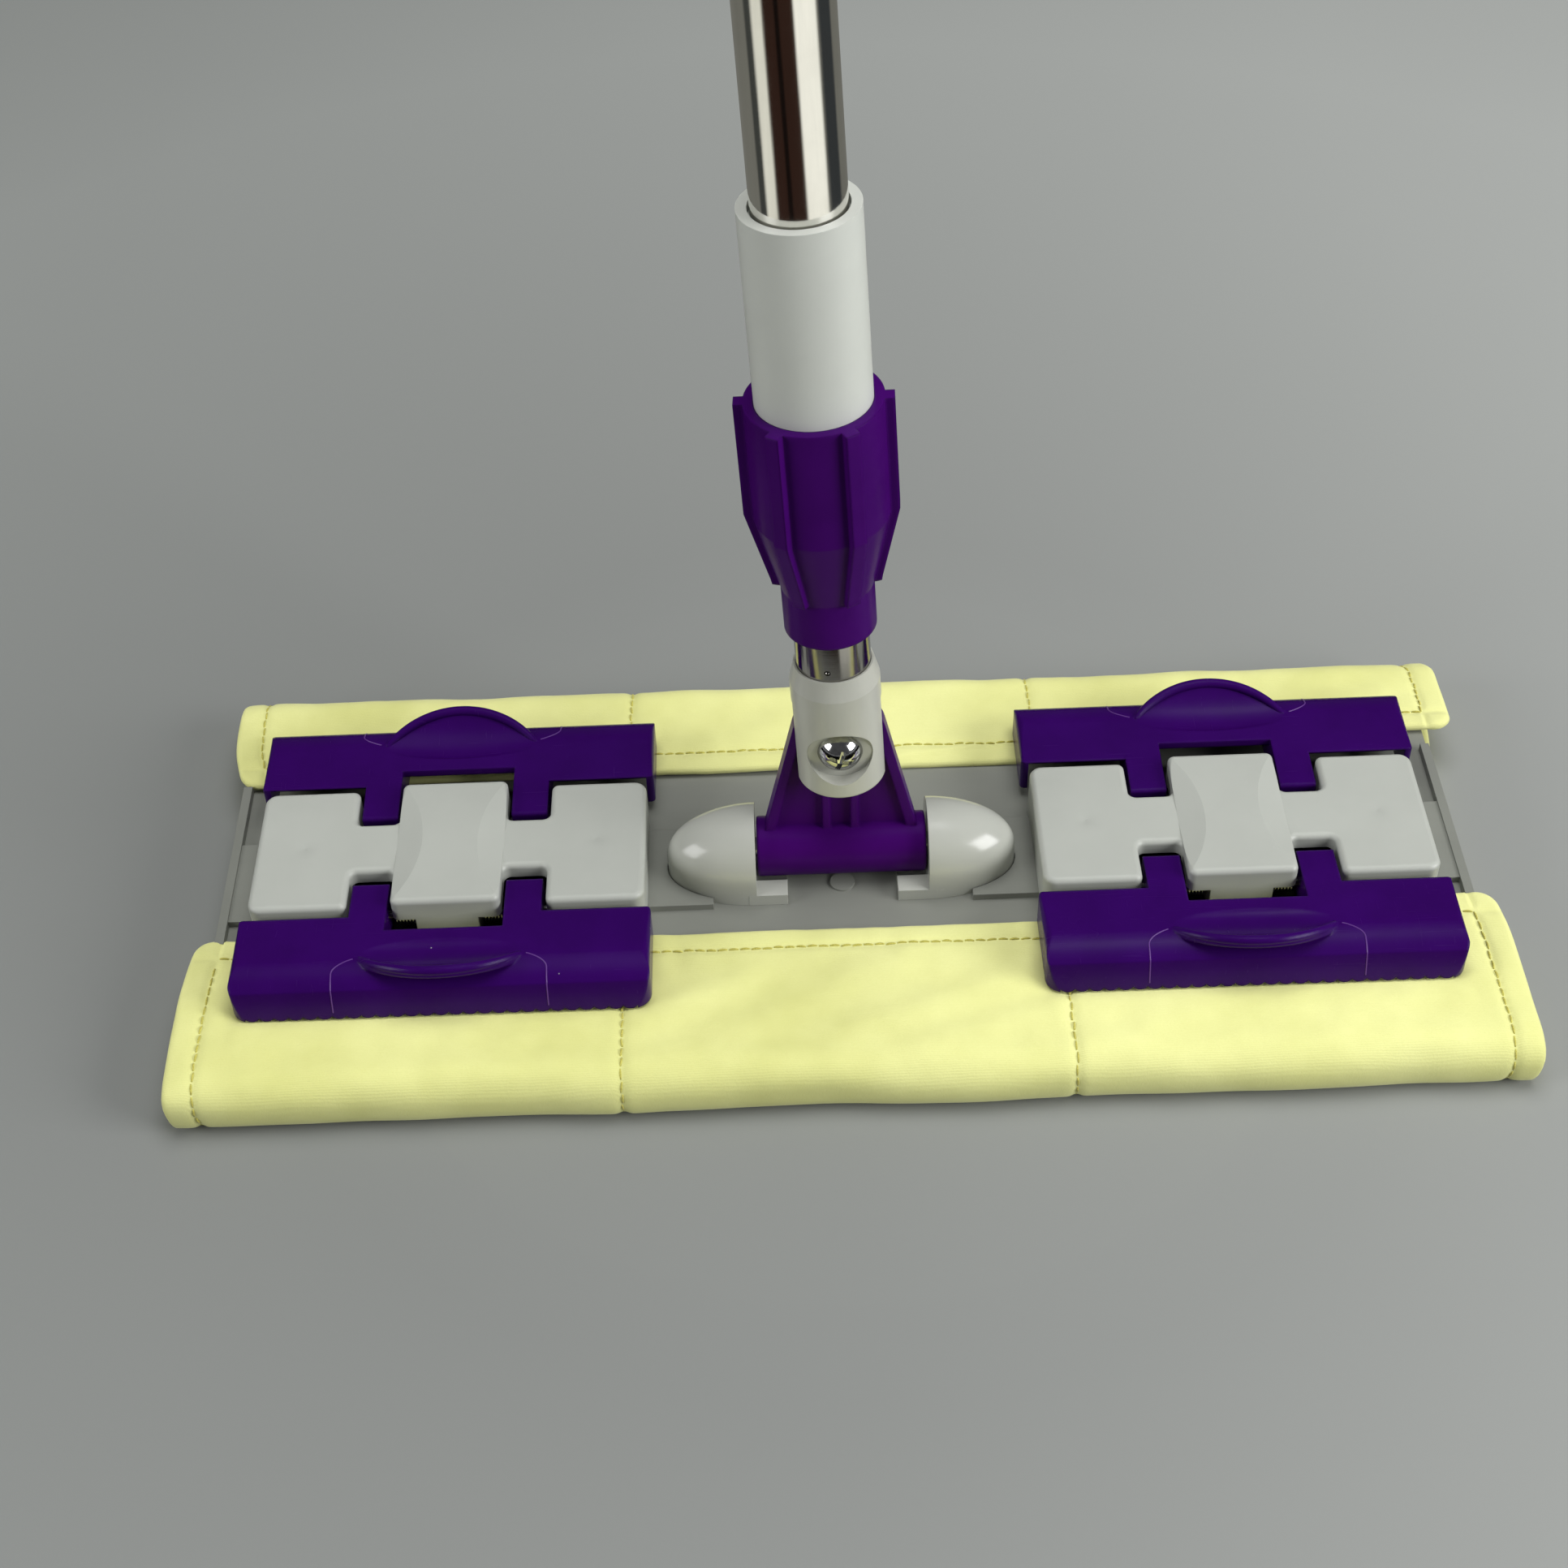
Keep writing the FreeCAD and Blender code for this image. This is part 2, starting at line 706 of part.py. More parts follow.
def jaw_profile():
    """YZ outline of the bar."""
    return [(jaw_inner_y, bite_z), (jaw_inner_y, jaw_inner_z), (jaw_crest_y, jaw_crest_z),
            ("arc", (jaw_crest_y + jaw_shoulder[0], jaw_crest_z - jaw_shoulder[1]),
             (jaw_crease_y, jaw_crease_z)),
            (jaw_bite_y, bite_z)]


def jaw_hollow():
    """YZ outline of the space under the bar, one wall inside it, open below and inwards."""
    def inside(y, z, lean_deg):
        lean = math.radians(lean_deg)
        return (y - jaw_wall * math.sin(lean), z - jaw_wall * math.cos(lean))

    inner_y = jaw_inner_y - jaw_top_width
    drop = jaw_wall / math.cos(math.atan(jaw_slope))
    shoulder = (jaw_crest_y + jaw_shoulder[0], jaw_crest_z - jaw_shoulder[1])
    return [(inner_y, bite_z - over), (inner_y, jaw_inner_z - drop - jaw_top_climb),
            (jaw_crest_y, jaw_crest_z - drop),
            ("arc", inside(*shoulder, jaw_shoulder_lean_deg),
             inside(jaw_crease_y, jaw_crease_z, jaw_crease_lean_deg)),
            (jaw_bite_y - jaw_wall, bite_z - over)]


def jaw_bar():
    """The long bar with its rounded ends."""
    bar = along_x(jaw_profile(), (-jaw_half_length, jaw_half_length))
    plan = block((-jaw_half_length, jaw_half_length), (jaw_inner_y, jaw_bite_y), (bite_z, wide))
    outer = edges_where(plan, lambda c, e: is_upright(e) and c.y > jaw_bite_y - 1e-3)
    plan = plan.makeFillet(jaw_outer_corner, outer)
    inner = edges_where(plan, lambda c, e: is_upright(e) and c.y < jaw_inner_y + 1e-3)
    plan = plan.makeFillet(jaw_inner_corner, inner)
    front = block((-jaw_half_length, jaw_half_length), (jaw_inner_y - over, jaw_bite_y + over),
                  (bite_z, jaw_crest_z))
    ends = edges_where(front, lambda c, e: e.BoundBox.YLength > 1 and c.z > jaw_crest_z - 1e-3)
    front = front.makeFillet(jaw_end_round, ends)
    return bar.common(plan).common(front).removeSplitter()


def jaw_arm():
    """Right-hand arm: a plate that runs in over the hinge pin and ends in a short tail."""
    merge_y = jaw_inner_y + arm_merge
    merge_z = jaw_inner_z + arm_merge * jaw_slope
    knuckle, middle, side = [(hinge_y - arm_knuckle_radius * math.sin(math.radians(turn)),
                              hinge_z - arm_knuckle_radius * math.cos(math.radians(turn)))
                             for turn in (0, 30, 60)]
    outline = [(arm_tail_y, plate_top + arm_tail_height),
               (arm_tail_y, cover_top - arm_tail_drop),
               (merge_y, merge_z),
               (jaw_mouth_y + arm_merge, merge_z - over),
               (jaw_mouth_y + arm_merge, arm_bottom_z),
               (hinge_y + arm_bottom_reach, arm_bottom_z),
               knuckle,
               ("arc", middle, side)]
    arm = along_x(outline, (arm_inner_x, arm_outer_x))
    tail = edges_where(arm, lambda c, e: e.BoundBox.XLength > 1 and c.y < arm_tail_y + 1e-3)
    return arm.makeFillet(arm_tail_round, tail)


def tooth_gap():
    """Everything below the scalloped biting edge."""
    count = round(2 * (jaw_half_length - tooth_margin) / tooth_pitch)
    half = tooth_pitch * count / 2
    root = bite_z + tooth_depth
    edges = []
    for number in range(count):
        x = -half + number * tooth_pitch
        edges.append(Part.Arc(vec(x, 0, root), vec(x + tooth_pitch / 2, 0, bite_z),
                              vec(x + tooth_pitch, 0, root)).toShape())
    low = bite_z - over
    corners = [vec(half, 0, root), vec(half, 0, low), vec(-half, 0, low), vec(-half, 0, root)]
    for start, end in zip(corners, corners[1:]):
        edges.append(Part.LineSegment(start, end).toShape())
    face = Part.Face(Part.Wire(Part.sortEdges(edges)[0]))
    face.translate(vec(0, jaw_crease_y - jaw_wall, 0))
    return face.extrude(vec(0, 2 * jaw_wall + jaw_bite_y - jaw_crease_y, 0))


def in_tab_plane(shape):
    """Place a shape drawn flat (Y outwards from the base line, Z up) on the slope of the tab."""
    copy = shape.copy()
    copy.rotate(ORIGIN, X_AXIS, tab_slope_deg)
    copy.translate(vec(0, jaw_crest_y + tab_setback, jaw_crest_z))
    return copy


def finger_tab():
    """Lip that the finger lifts: a segment of a disc, its upper face dished."""
    radius = (tab_half_width ** 2 + tab_reach ** 2) / (2 * tab_reach)
    disc = rod_z(radius, (-tab_thickness, 0), 0, tab_reach - radius)
    disc = disc.makeFillet(tab_edge_round, edges_where(disc, lambda c, e: len(e.Vertexes) == 1))
    kept = block((-tab_half_width - over, tab_half_width + over), (-tab_root, tab_reach + over),
                 (-tab_thickness - over, over))
    return in_tab_plane(disc.common(kept))


def tab_dish():
    """Hollow that the finger tip rests in."""
    ball = Part.makeSphere(1.0)
    scale = FreeCAD.Matrix()
    scale.scale(dish_half_width, dish_half_reach, dish_half_depth)
    ball = ball.transformGeometry(scale)
    ball.translate(vec(0, dish_centre_reach, dish_centre_height))
    return in_tab_plane(ball)


def clip_jaw():
    """Back jaw centred on X = 0."""
    bar = jaw_bar()
    hollow = along_x(jaw_hollow(), (-jaw_half_length + jaw_wall, jaw_half_length - jaw_wall))
    mouth = block((-arm_inner_x, arm_inner_x), (0, jaw_mouth_y), (0, wide))
    sweep = rod_x(jaw_sweep_radius, (-jaw_half_length + jaw_wall, jaw_half_length - jaw_wall),
                  hinge_y, hinge_z)
    shell = bar.cut(hollow).cut(mouth).cut(sweep)
    arm = jaw_arm()
    ribs = [block((x, x + jaw_rib), (jaw_mouth_y, jaw_crease_y), (arm_bottom_z, wide)).common(bar)
            for x in (arm_inner_x, arm_outer_x - jaw_rib)]
    tab_body = finger_tab().cut(along_x(jaw_hollow(), (-wide, wide)))
    body = fused([shell, arm, mirrored_x(arm), tab_body] + ribs + [mirrored_x(r) for r in ribs])
    cuts = [tab_dish(), tooth_gap()]
    cuts.append(rod_x(hinge_pin_radius + fit, (-wide, wide), hinge_y, hinge_z))
    hook_y, hook_z = spring_hook_spot()
    for side in (-1, 1):
        span = sorted((side * (arm_inner_x - over), side * (arm_inner_x + spring_hook)))
        cuts.append(rod_x(spring_hook_hole, span, hook_y, hook_z))
    for cut in cuts:
        body = body.cut(cut)
    return body


def hinge_pin():
    return rod_x(hinge_pin_radius, (-hinge_pin_half_length, hinge_pin_half_length), hinge_y, hinge_z)


# ---------------------------------------------------------------- clip springs

def spring_hook_spot():
    """Where the coil's end runs straight into the arm."""
    turn = math.radians(spring_hook_deg)
    return (hinge_y + spring_mean_radius * math.cos(turn), hinge_z + spring_mean_radius * math.sin(turn))


def clip_spring():
    """Closely wound torsion spring on the right-hand end of the pin, with a hook and a tail."""
    pitch = 2 * spring_wire_radius
    length = pitch * spring_turns
    inner = spring_mean_radius - spring_core
    edges = [Part.LineSegment(vec(inner, 0, 0), vec(spring_mean_radius, 0, 0)).toShape()]
    for turn in range(spring_turns):
        low = turn * pitch
        edges.append(Part.Arc(vec(spring_mean_radius, 0, low),
                              vec(spring_mean_radius + spring_wire_radius, 0, low + spring_wire_radius),
                              vec(spring_mean_radius, 0, low + pitch)).toShape())
    edges.append(Part.LineSegment(vec(spring_mean_radius, 0, length), vec(inner, 0, length)).toShape())
    edges.append(Part.LineSegment(vec(inner, 0, length), vec(inner, 0, 0)).toShape())
    coil = Part.Face(Part.Wire(edges)).revolve(ORIGIN, Z_AXIS, 360)
    coil.rotate(ORIGIN, Y_AXIS, 90)
    coil.translate(vec(spring_start_x, hinge_y, hinge_z))
    tail = rod_y(spring_tail_radius, (spring_tail_y, hinge_y),
                 spring_start_x + spring_wire_radius, hinge_z - spring_mean_radius)
    hook_y, hook_z = spring_hook_spot()
    hook = rod_x(spring_tail_radius, (spring_start_x + length - spring_wire_radius,
                                      arm_inner_x + spring_hook - soft_gap), hook_y, hook_z)
    return coil.fuse([tail, hook])


def clip_springs():
    spring = clip_spring()
    return Part.makeCompound([spring, mirrored_x(spring)])


# ---------------------------------------------------------------- mop cloth

def mop_cloth():
    """Padded cloth under the plate, folded up round both long edges."""
    half_y = plate_width / 2 + soft_gap + cloth_side
    outside = block((-cloth_half_length, cloth_half_length), (-half_y, half_y), (0, flap_top))
    folds = edges_where(outside, lambda c, e: e.BoundBox.XLength > 1)
    outside = outside.makeFillet(cloth_fold_round, folds)
    inner_y = plate_width / 2 + soft_gap
    inside = block((-wide, wide), (-inner_y, inner_y), (cloth_pad, plate_top + soft_gap))
    window = block((-wide, wide), (-front_flap_edge, back_flap_edge), (cloth_pad, wide))
    body = outside.cut(inside).cut(window)
    edge_x = cloth_half_length - cloth_end_inset
    past_x = cloth_half_length + over
    corners = [vec(edge_x, -front_flap_edge, -over), vec(edge_x, front_flap_edge, -over),
               vec(past_x, inner_y, -over), vec(wide, 0, -over), vec(past_x, -inner_y, -over)]
    trim = Part.Face(Part.makePolygon(corners + corners[:1])).extrude(vec(0, 0, cloth_pad + over))
    return body.cut(trim).cut(mirrored_x(trim))


# ---------------------------------------------------------------- lower pole

def pole_socket():
    """Forked socket that straddles the yoke and carries the inner tube on its stem."""
    stem = inner_tube_radius - tube_wall - fit
    body = turned([(0, socket_bottom), (socket_radius, socket_bottom),
                   (socket_radius, socket_top - socket_chamfer_rise), (socket_neck_radius, socket_top),
                   (inner_tube_radius + fit, socket_top), (inner_tube_radius + fit, socket_floor),
                   (stem, socket_floor), (stem, socket_top + stem_reach), (0, socket_top + stem_reach)])
    bottom = edges_where(body, lambda c, e: e.BoundBox.ZMax < socket_bottom + 1e-3
                         and e.BoundBox.XLength > socket_radius)
    body = body.makeFillet(socket_edge_round, bottom)
    half = yoke_half_thickness + socket_slot_gap
    slot = block((-wide, wide), (-half, half), (0, socket_slot_top))
    cheek = half + bolt_cheek
    recess = rod_y(bolt_recess_radius, (-socket_radius - over, -cheek), 0, bolt_z)
    bore = rod_y(bolt_radius + fit, (-socket_radius, socket_radius), 0, bolt_z)
    pocket = hex_y(nut_flats + 2 * fit, (half + nut_cheek, socket_radius + over))
    dimple = stem_dimple_tool(inner_tube_radius - tube_wall)
    for cut in (slot, recess, bore, pocket, dimple):
        body = body.cut(cut)
    return on_pole(body)


def hex_y(flats, y_span):
    """Hexagonal prism along Y at bolt height."""
    radius = flats / math.sqrt(3)
    corners = [vec(radius * math.cos(math.radians(60 * i)), y_span[0],
                   bolt_z + radius * math.sin(math.radians(60 * i))) for i in range(6)]
    return Part.Face(Part.makePolygon(corners + corners[:1])).extrude(vec(0, y_span[1] - y_span[0], 0))


def stem_dimple_tool(radius):
    """Ball that marks where the tube is punched into the stem."""
    turn = math.radians(-90 + dimple_turn_deg)
    return Part.makeSphere(dimple_radius, vec(radius * math.cos(turn), radius * math.sin(turn),
                                               socket_top + dimple_rise))


def pivot_bolt():
    half = yoke_half_thickness + socket_slot_gap
    seat = -half - bolt_cheek
    ball = (bolt_head_radius ** 2 + bolt_head_height ** 2) / (2 * bolt_head_height)
    head = Part.makeSphere(ball, vec(0, seat - bolt_head_height + ball, bolt_z))
    head = head.common(block((-wide, wide), (-wide, seat), (0, wide)))
    shank = rod_y(bolt_radius, (seat, half + nut_cheek + nut_height - bolt_short), 0, bolt_z)
    face = seat - bolt_head_height
    length, width, depth = bolt_cross
    cuts = (face - over, face + depth)
    level = block((-length / 2, length / 2), cuts, (bolt_z - width / 2, bolt_z + width / 2))
    upright = block((-width / 2, width / 2), cuts, (bolt_z - length / 2, bolt_z + length / 2))
    recess = fused([level, upright])
    recess.rotate(vec(0, 0, bolt_z), Y_AXIS, bolt_cross_deg)
    return on_pole(head.fuse(shank).cut(recess).removeSplitter())


def pivot_nut():
    low = yoke_half_thickness + socket_slot_gap + nut_cheek
    body = hex_y(nut_flats, (low, low + nut_height))
    return on_pole(body.cut(rod_y(bolt_radius + fit, (0, wide), 0, bolt_z)))


def tube(outer, z_span):
    return rod_z(outer, z_span).cut(rod_z(outer - tube_wall, z_span))


def inner_tube():
    body = tube(inner_tube_radius, (socket_floor, inner_tube_top))
    return on_pole(body.cut(stem_dimple_tool(inner_tube_radius)))


def inner_tube_bush():
    """Guide on the top of the inner tube that slides in the outer tube."""
    guide = outer_tube_radius - tube_wall - slide_fit
    plug = inner_tube_radius - tube_wall - fit
    bore = plug - bush_wall
    top = inner_tube_top + bush_flange
    low = inner_tube_top - bush_length
    return on_pole(turned([(bore, low), (plug, low), (plug, inner_tube_top), (guide, inner_tube_top),
                           (guide, top), (bore, top)]))


# ---------------------------------------------------------------- upper pole

def outer_tube():
    return on_pole(tube(outer_tube_radius, (outer_tube_bottom, outer_tube_top)))


def collar_bore_radius(height):
    """Radius of the collar's inner cone at a height along the pole."""
    share = (height - collar_shoulder) / (sleeve_shoulder - collar_shoulder)
    low = inner_tube_radius + collar_bore_gap + collet_wall
    high = sleeve_radius + 2 * fit
    return low + (high - low) * min(max(share, 0.0), 1.0)


def lock_sleeve():
    """Sleeve on the end of the outer tube; its slotted collet grips the inner tube."""
    seat = outer_tube_radius + fit
    grip = inner_tube_radius + slide_fit
    rim = sleeve_radius - sleeve_rim_wall
    gap = collar_bore_gap
    body = turned([(grip, collet_bottom), (collar_bore_radius(collet_bottom) - gap, collet_bottom),
                   (sleeve_radius - gap, sleeve_shoulder), (sleeve_radius, sleeve_shoulder + gap),
                   (sleeve_radius, sleeve_top), (rim, sleeve_top), (rim, sleeve_top - sleeve_rim_depth),
                   (seat, sleeve_top - sleeve_rim_depth), (seat, outer_tube_bottom),
                   (grip, outer_tube_bottom)])
    half = collet_slot_width / 2
    for number in range(collet_slots // 2):
        slot = block((-sleeve_radius - over, sleeve_radius + over), (-half, half),
                     (collet_bottom - over, sleeve_shoulder - collet_slot_end))
        slot.rotate(ORIGIN, Z_AXIS, 360.0 * number / collet_slots)
        body = body.cut(slot)
    return on_pole(body)


def collar_fin(turn):
    """One upright fin that fades into the nose of the collar."""
    half = fin_thickness / 2
    inside = collar_nose_radius - fin_root
    low = collar_shoulder - over
    points = [(inside, low), (fin_nose_radius, low + fin_toe_rise),
              (fin_nose_radius + fin_nose_climb, low + fin_nose_rise),
              (fin_radius, collar_cone_top + over), (fin_radius, collar_top), (inside, collar_top)]
    corners = [vec(r, -half, z) for r, z in points]
    fin = Part.Face(Part.makePolygon(corners + corners[:1])).extrude(vec(0, fin_thickness, 0))
    straight = block((0, fin_radius), (-half, half), (low + half, collar_top))
    fin = fin.common(straight.fuse(rod_x(half, (0, fin_radius), 0, low + half)))
    fin.rotate(ORIGIN, Z_AXIS, turn)
    return fin


def lock_collar():
    """Twist collar whose inner cone squeezes the collet."""
    body = turned([(0, collar_bottom), (collar_nose_radius, collar_bottom),
                   (collar_nose_radius, collar_shoulder), (collar_radius, collar_cone_top),
                   (collar_radius, collar_top), (0, collar_top)])
    fins = [collar_fin(fin_first_deg + 360.0 * n / collar_fins) for n in range(collar_fins)]
    body = fused([body] + fins)
    nose = inner_tube_radius + collar_bore_gap
    start = collar_shoulder
    bore = turned([(0, collar_bottom - over), (nose, collar_bottom - over), (nose, start),
                   (collar_bore_radius(start), start),
                   (collar_bore_radius(sleeve_shoulder), sleeve_shoulder),
                   (collar_bore_radius(sleeve_shoulder), collar_top + over), (0, collar_top + over)])
    return on_pole(body.cut(bore))


def handle_grip():
    """Plastic grip with shallow rings round it."""
    bore = outer_tube_radius + fit
    grip_bottom = outer_tube_top - grip_length
    body = turned([(bore, grip_bottom), (grip_radius - grip_groove_depth, grip_bottom),
                   (grip_radius, grip_bottom + cap_edge), (grip_radius, outer_tube_top),
                   (bore, outer_tube_top)])
    pitch = grip_length / (grip_grooves + 1)
    for number in range(grip_grooves):
        ring = Part.makeTorus(grip_radius + grip_ring_radius - grip_groove_depth, grip_ring_radius,
                              vec(0, 0, grip_bottom + (number + 1) * pitch), Z_AXIS)
        body = body.cut(ring)
    return on_pole(body)


def end_cap():
    """Cap plugged into the outer tube, with the eye that the mop hangs by."""
    plug = outer_tube_radius - tube_wall - fit
    flange_top = outer_tube_top + cap_flange
    body = turned([(0, outer_tube_top - cap_plug), (plug, outer_tube_top - cap_plug),
                   (plug, outer_tube_top), (grip_radius, outer_tube_top),
                   (grip_radius, flange_top - cap_edge), (grip_radius - cap_edge, flange_top),
                   (0, flange_top)])
    eye_z = outer_tube_top + eye_rise
    span = (-eye_half_thickness, eye_half_thickness)
    eye = rod_y(eye_radius, span, 0, eye_z)
    neck = block((-eye_radius, eye_radius), span, (flange_top - cap_edge, eye_z))
    loop = fused([eye, neck])
    hole = rod_y(hanging_hole_radius, (-wide, wide), 0, eye_z)
    return on_pole(body.fuse(loop).cut(hole).removeSplitter())


# ---------------------------------------------------------------- write every piece

def main():
    os.makedirs("parts", exist_ok=True)
    save("base_plate", base_plate())
    save("mop_cloth", mop_cloth())
    bracket = pivot_bracket()
    save("pivot_bracket_right", bracket)
    save("pivot_bracket_left", mirrored_x(bracket))
    save("pivot_axle", pivot_axle())
    save("pivot_yoke", pivot_yoke())
    spots = bracket_screw_spots(-1) + bracket_screw_spots(1)
    save("bracket_screws", Part.makeCompound([screw(x, y, bracket_screw_reach) for x, y in spots]))
    cover = clip_cover()
    jaw = clip_jaw()
    pin = hinge_pin()
    springs = clip_springs()
    for side, sign in (("left", -1), ("right", 1)):
        centre = sign * module_centre
        save("clip_cover_" + side, moved(cover, centre))
        screws = [screw(x, y, cover_screw_reach) for x, y in cover_screw_spots(centre)]
        save("cover_screws_" + side, Part.makeCompound(screws))
        for end, placed in (("back", lambda s: s), ("front", turned_round)):
            place = "_" + end + "_" + side
            save("clip_jaw" + place, moved(placed(jaw), centre))
            save("hinge_pin" + place, moved(placed(pin), centre))
            save("clip_springs" + place, moved(placed(springs), centre))
    save("pole_socket", pole_socket())
    save("pivot_bolt", pivot_bolt())
    save("pivot_nut", pivot_nut())
    save("inner_tube", inner_tube())
    save("inner_tube_bush", inner_tube_bush())
    save("outer_tube", outer_tube())
    save("lock_sleeve", lock_sleeve())
    save("lock_collar", lock_collar())
    save("handle_grip", handle_grip())
    save("end_cap", end_cap())


main()
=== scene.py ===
"""Looks of the flat mop: materials, the sewn cloth, stitches, wire springs, light and camera.

Everything is in metres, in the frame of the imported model: X along the plate, Y to the back, Z up.
"""

import json
import math

import bmesh
import bpy
import numpy as np
from mathutils import Matrix, Vector
from mathutils.bvhtree import BVHTree

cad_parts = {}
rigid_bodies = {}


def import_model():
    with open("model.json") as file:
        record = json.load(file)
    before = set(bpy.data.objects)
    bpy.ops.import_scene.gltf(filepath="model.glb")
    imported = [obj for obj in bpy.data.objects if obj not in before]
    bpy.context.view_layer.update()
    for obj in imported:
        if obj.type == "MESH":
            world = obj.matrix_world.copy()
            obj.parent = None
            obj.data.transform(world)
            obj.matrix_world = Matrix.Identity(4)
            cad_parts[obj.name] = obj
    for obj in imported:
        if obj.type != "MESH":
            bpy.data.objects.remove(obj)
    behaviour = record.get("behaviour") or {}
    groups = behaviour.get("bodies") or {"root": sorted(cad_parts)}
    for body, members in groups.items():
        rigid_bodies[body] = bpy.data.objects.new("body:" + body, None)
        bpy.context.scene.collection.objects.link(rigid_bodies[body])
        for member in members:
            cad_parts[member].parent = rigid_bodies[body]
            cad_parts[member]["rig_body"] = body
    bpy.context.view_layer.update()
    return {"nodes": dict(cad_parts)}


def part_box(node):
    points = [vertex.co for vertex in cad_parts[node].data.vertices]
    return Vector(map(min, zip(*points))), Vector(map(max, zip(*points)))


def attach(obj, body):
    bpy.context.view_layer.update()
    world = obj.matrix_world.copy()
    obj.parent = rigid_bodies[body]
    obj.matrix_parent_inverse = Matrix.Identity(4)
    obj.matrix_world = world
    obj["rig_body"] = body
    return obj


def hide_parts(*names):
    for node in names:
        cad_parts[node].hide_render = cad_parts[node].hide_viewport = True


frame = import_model()

MM = 0.001
rng = np.random.default_rng(7)
nodes = frame["nodes"]

cloth_low, cloth_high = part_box("mop_cloth")
plate_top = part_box("clip_cover_left")[0].z
module_x = {side: sum(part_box("clip_cover_" + side), Vector()).x / 2 for side in ("left", "right")}
jaw_names = [(end, side) for end in ("front", "back") for side in ("left", "right")]


# ---------------------------------------------------------------- camera and lamps

def add_camera():
    """Camera looking down at the mop from the front."""
    yaw, down, roll = math.radians(-0.25), math.radians(45.25), math.radians(-2.3)
    forward = Vector((math.sin(yaw) * math.cos(down), math.cos(yaw) * math.cos(down), -math.sin(down)))
    level = Vector((math.cos(yaw), -math.sin(yaw), 0))
    upward = level.cross(forward)
    right = level * math.cos(roll) + upward * math.sin(roll)
    up = -level * math.sin(roll) + upward * math.cos(roll)
    data = bpy.data.cameras.new("camera")
    data.lens = 54.63
    data.sensor_width = 36.0
    data.clip_start = 0.01
    camera = bpy.data.objects.new("camera", data)
    bpy.context.scene.collection.objects.link(camera)
    camera.matrix_world = Matrix((
        (right.x, up.x, -forward.x, -14.7 * MM),
        (right.y, up.y, -forward.y, -506.1 * MM),
        (right.z, up.z, -forward.z, 562.6 * MM),
        (0, 0, 0, 1)))
    bpy.context.scene.camera = camera


def area_light(name, place, target, size, watts):
    data = bpy.data.lights.new(name, "AREA")
    data.shape = "RECTANGLE"
    data.size, data.size_y = size
    data.energy = watts
    lamp = bpy.data.objects.new(name, data)
    bpy.context.scene.collection.objects.link(lamp)
    lamp.location = place
    lamp.rotation_euler = (Vector(target) - Vector(place)).to_track_quat("-Z", "Y").to_euler()
    return lamp


# ---------------------------------------------------------------- materials

def srgb(red, green, blue):
    """Scene-linear colour from 0-255 display values."""
    return tuple(((c / 255 + 0.055) / 1.055) ** 2.4 if c > 10.3 else c / 3294.6
                 for c in (red, green, blue))


class Tree:
    """Short hand for building one material out of nodes."""

    def __init__(self, name):
        self.material = bpy.data.materials.new(name)
        self.material.use_nodes = True
        self.nodes = self.material.node_tree.nodes
        self.links = self.material.node_tree.links
        self.shader = self.nodes["Principled BSDF"]
        self.coordinates = self.node("ShaderNodeTexCoord").outputs["Object"]

    def node(self, kind, **settings):
        made = self.nodes.new(kind)
        for key, value in settings.items():
            setattr(made, key, value)
        return made

    def feed(self, made, inputs):
        for key, value in inputs.items():
            if isinstance(value, bpy.types.NodeSocket):
                self.links.new(value, made.inputs[key])
            else:
                made.inputs[key].default_value = value
        return made

    def shade(self, **inputs):
        self.feed(self.shader, {key.replace("_", " "): value for key, value in inputs.items()})

    def mapped(self, scale, turn=(0, 0, 0)):
        made = self.node("ShaderNodeMapping")
        self.feed(made, {"Vector": self.coordinates, "Scale": scale, "Rotation": turn})
        return made.outputs["Vector"]

    def noise(self, scale, detail=3.0, roughness=0.55, stretch=None, turn=(0, 0, 0)):
        made = self.node("ShaderNodeTexNoise")
        vector = self.mapped(stretch, turn) if stretch else self.coordinates
        self.feed(made, {"Vector": vector, "Scale": scale, "Detail": detail, "Roughness": roughness})
        return made.outputs["Fac"]

    def ramp(self, value, low, high, start=0.0, end=1.0):
        """Straight-line map from low..high to start..end, clamped."""
        made = self.node("ShaderNodeMapRange")
        self.feed(made, {"Value": value, "From Min": low, "From Max": high,
                         "To Min": start, "To Max": end})
        return made.outputs["Result"]

    def maths(self, operation, first, second=0.0, third=0.0):
        made = self.node("ShaderNodeMath", operation=operation)
        self.feed(made, {0: first, 1: second, 2: third})
        return made.outputs[0]

    def mix(self, share, first, second):
        """Colour mix of two colours or sockets."""
        made = self.node("ShaderNodeMix", data_type="RGBA")
        for key, value in ((6, first), (7, second)):
            if isinstance(value, bpy.types.NodeSocket):
                self.links.new(value, made.inputs[key])
            else:
                made.inputs[key].default_value = (*value, 1.0)
        self.feed(made, {0: share})
        return made.outputs[2]

    def bump(self, height, distance, strength=1.0, normal=None):
        made = self.node("ShaderNodeBump")
        self.feed(made, {"Height": height, "Distance": distance, "Strength": strength})
        if normal is not None:
            self.links.new(normal, made.inputs["Normal"])
        return made.outputs["Normal"]

    def soft_edges(self, radius):
        made = self.node("ShaderNodeBevel", samples=4)
        made.inputs["Radius"].default_value = radius
        return made.outputs["Normal"]

    def edge_mask(self, rounded):
        """1 along the piece's edges, 0 on its faces."""
        dot = self.node("ShaderNodeVectorMath", operation="DOT_PRODUCT")
        self.links.new(rounded, dot.inputs[0])
        self.links.new(self.node("ShaderNodeNewGeometry").outputs["Normal"], dot.inputs[1])
        return self.ramp(dot.outputs["Value"], 0.985, 0.88)


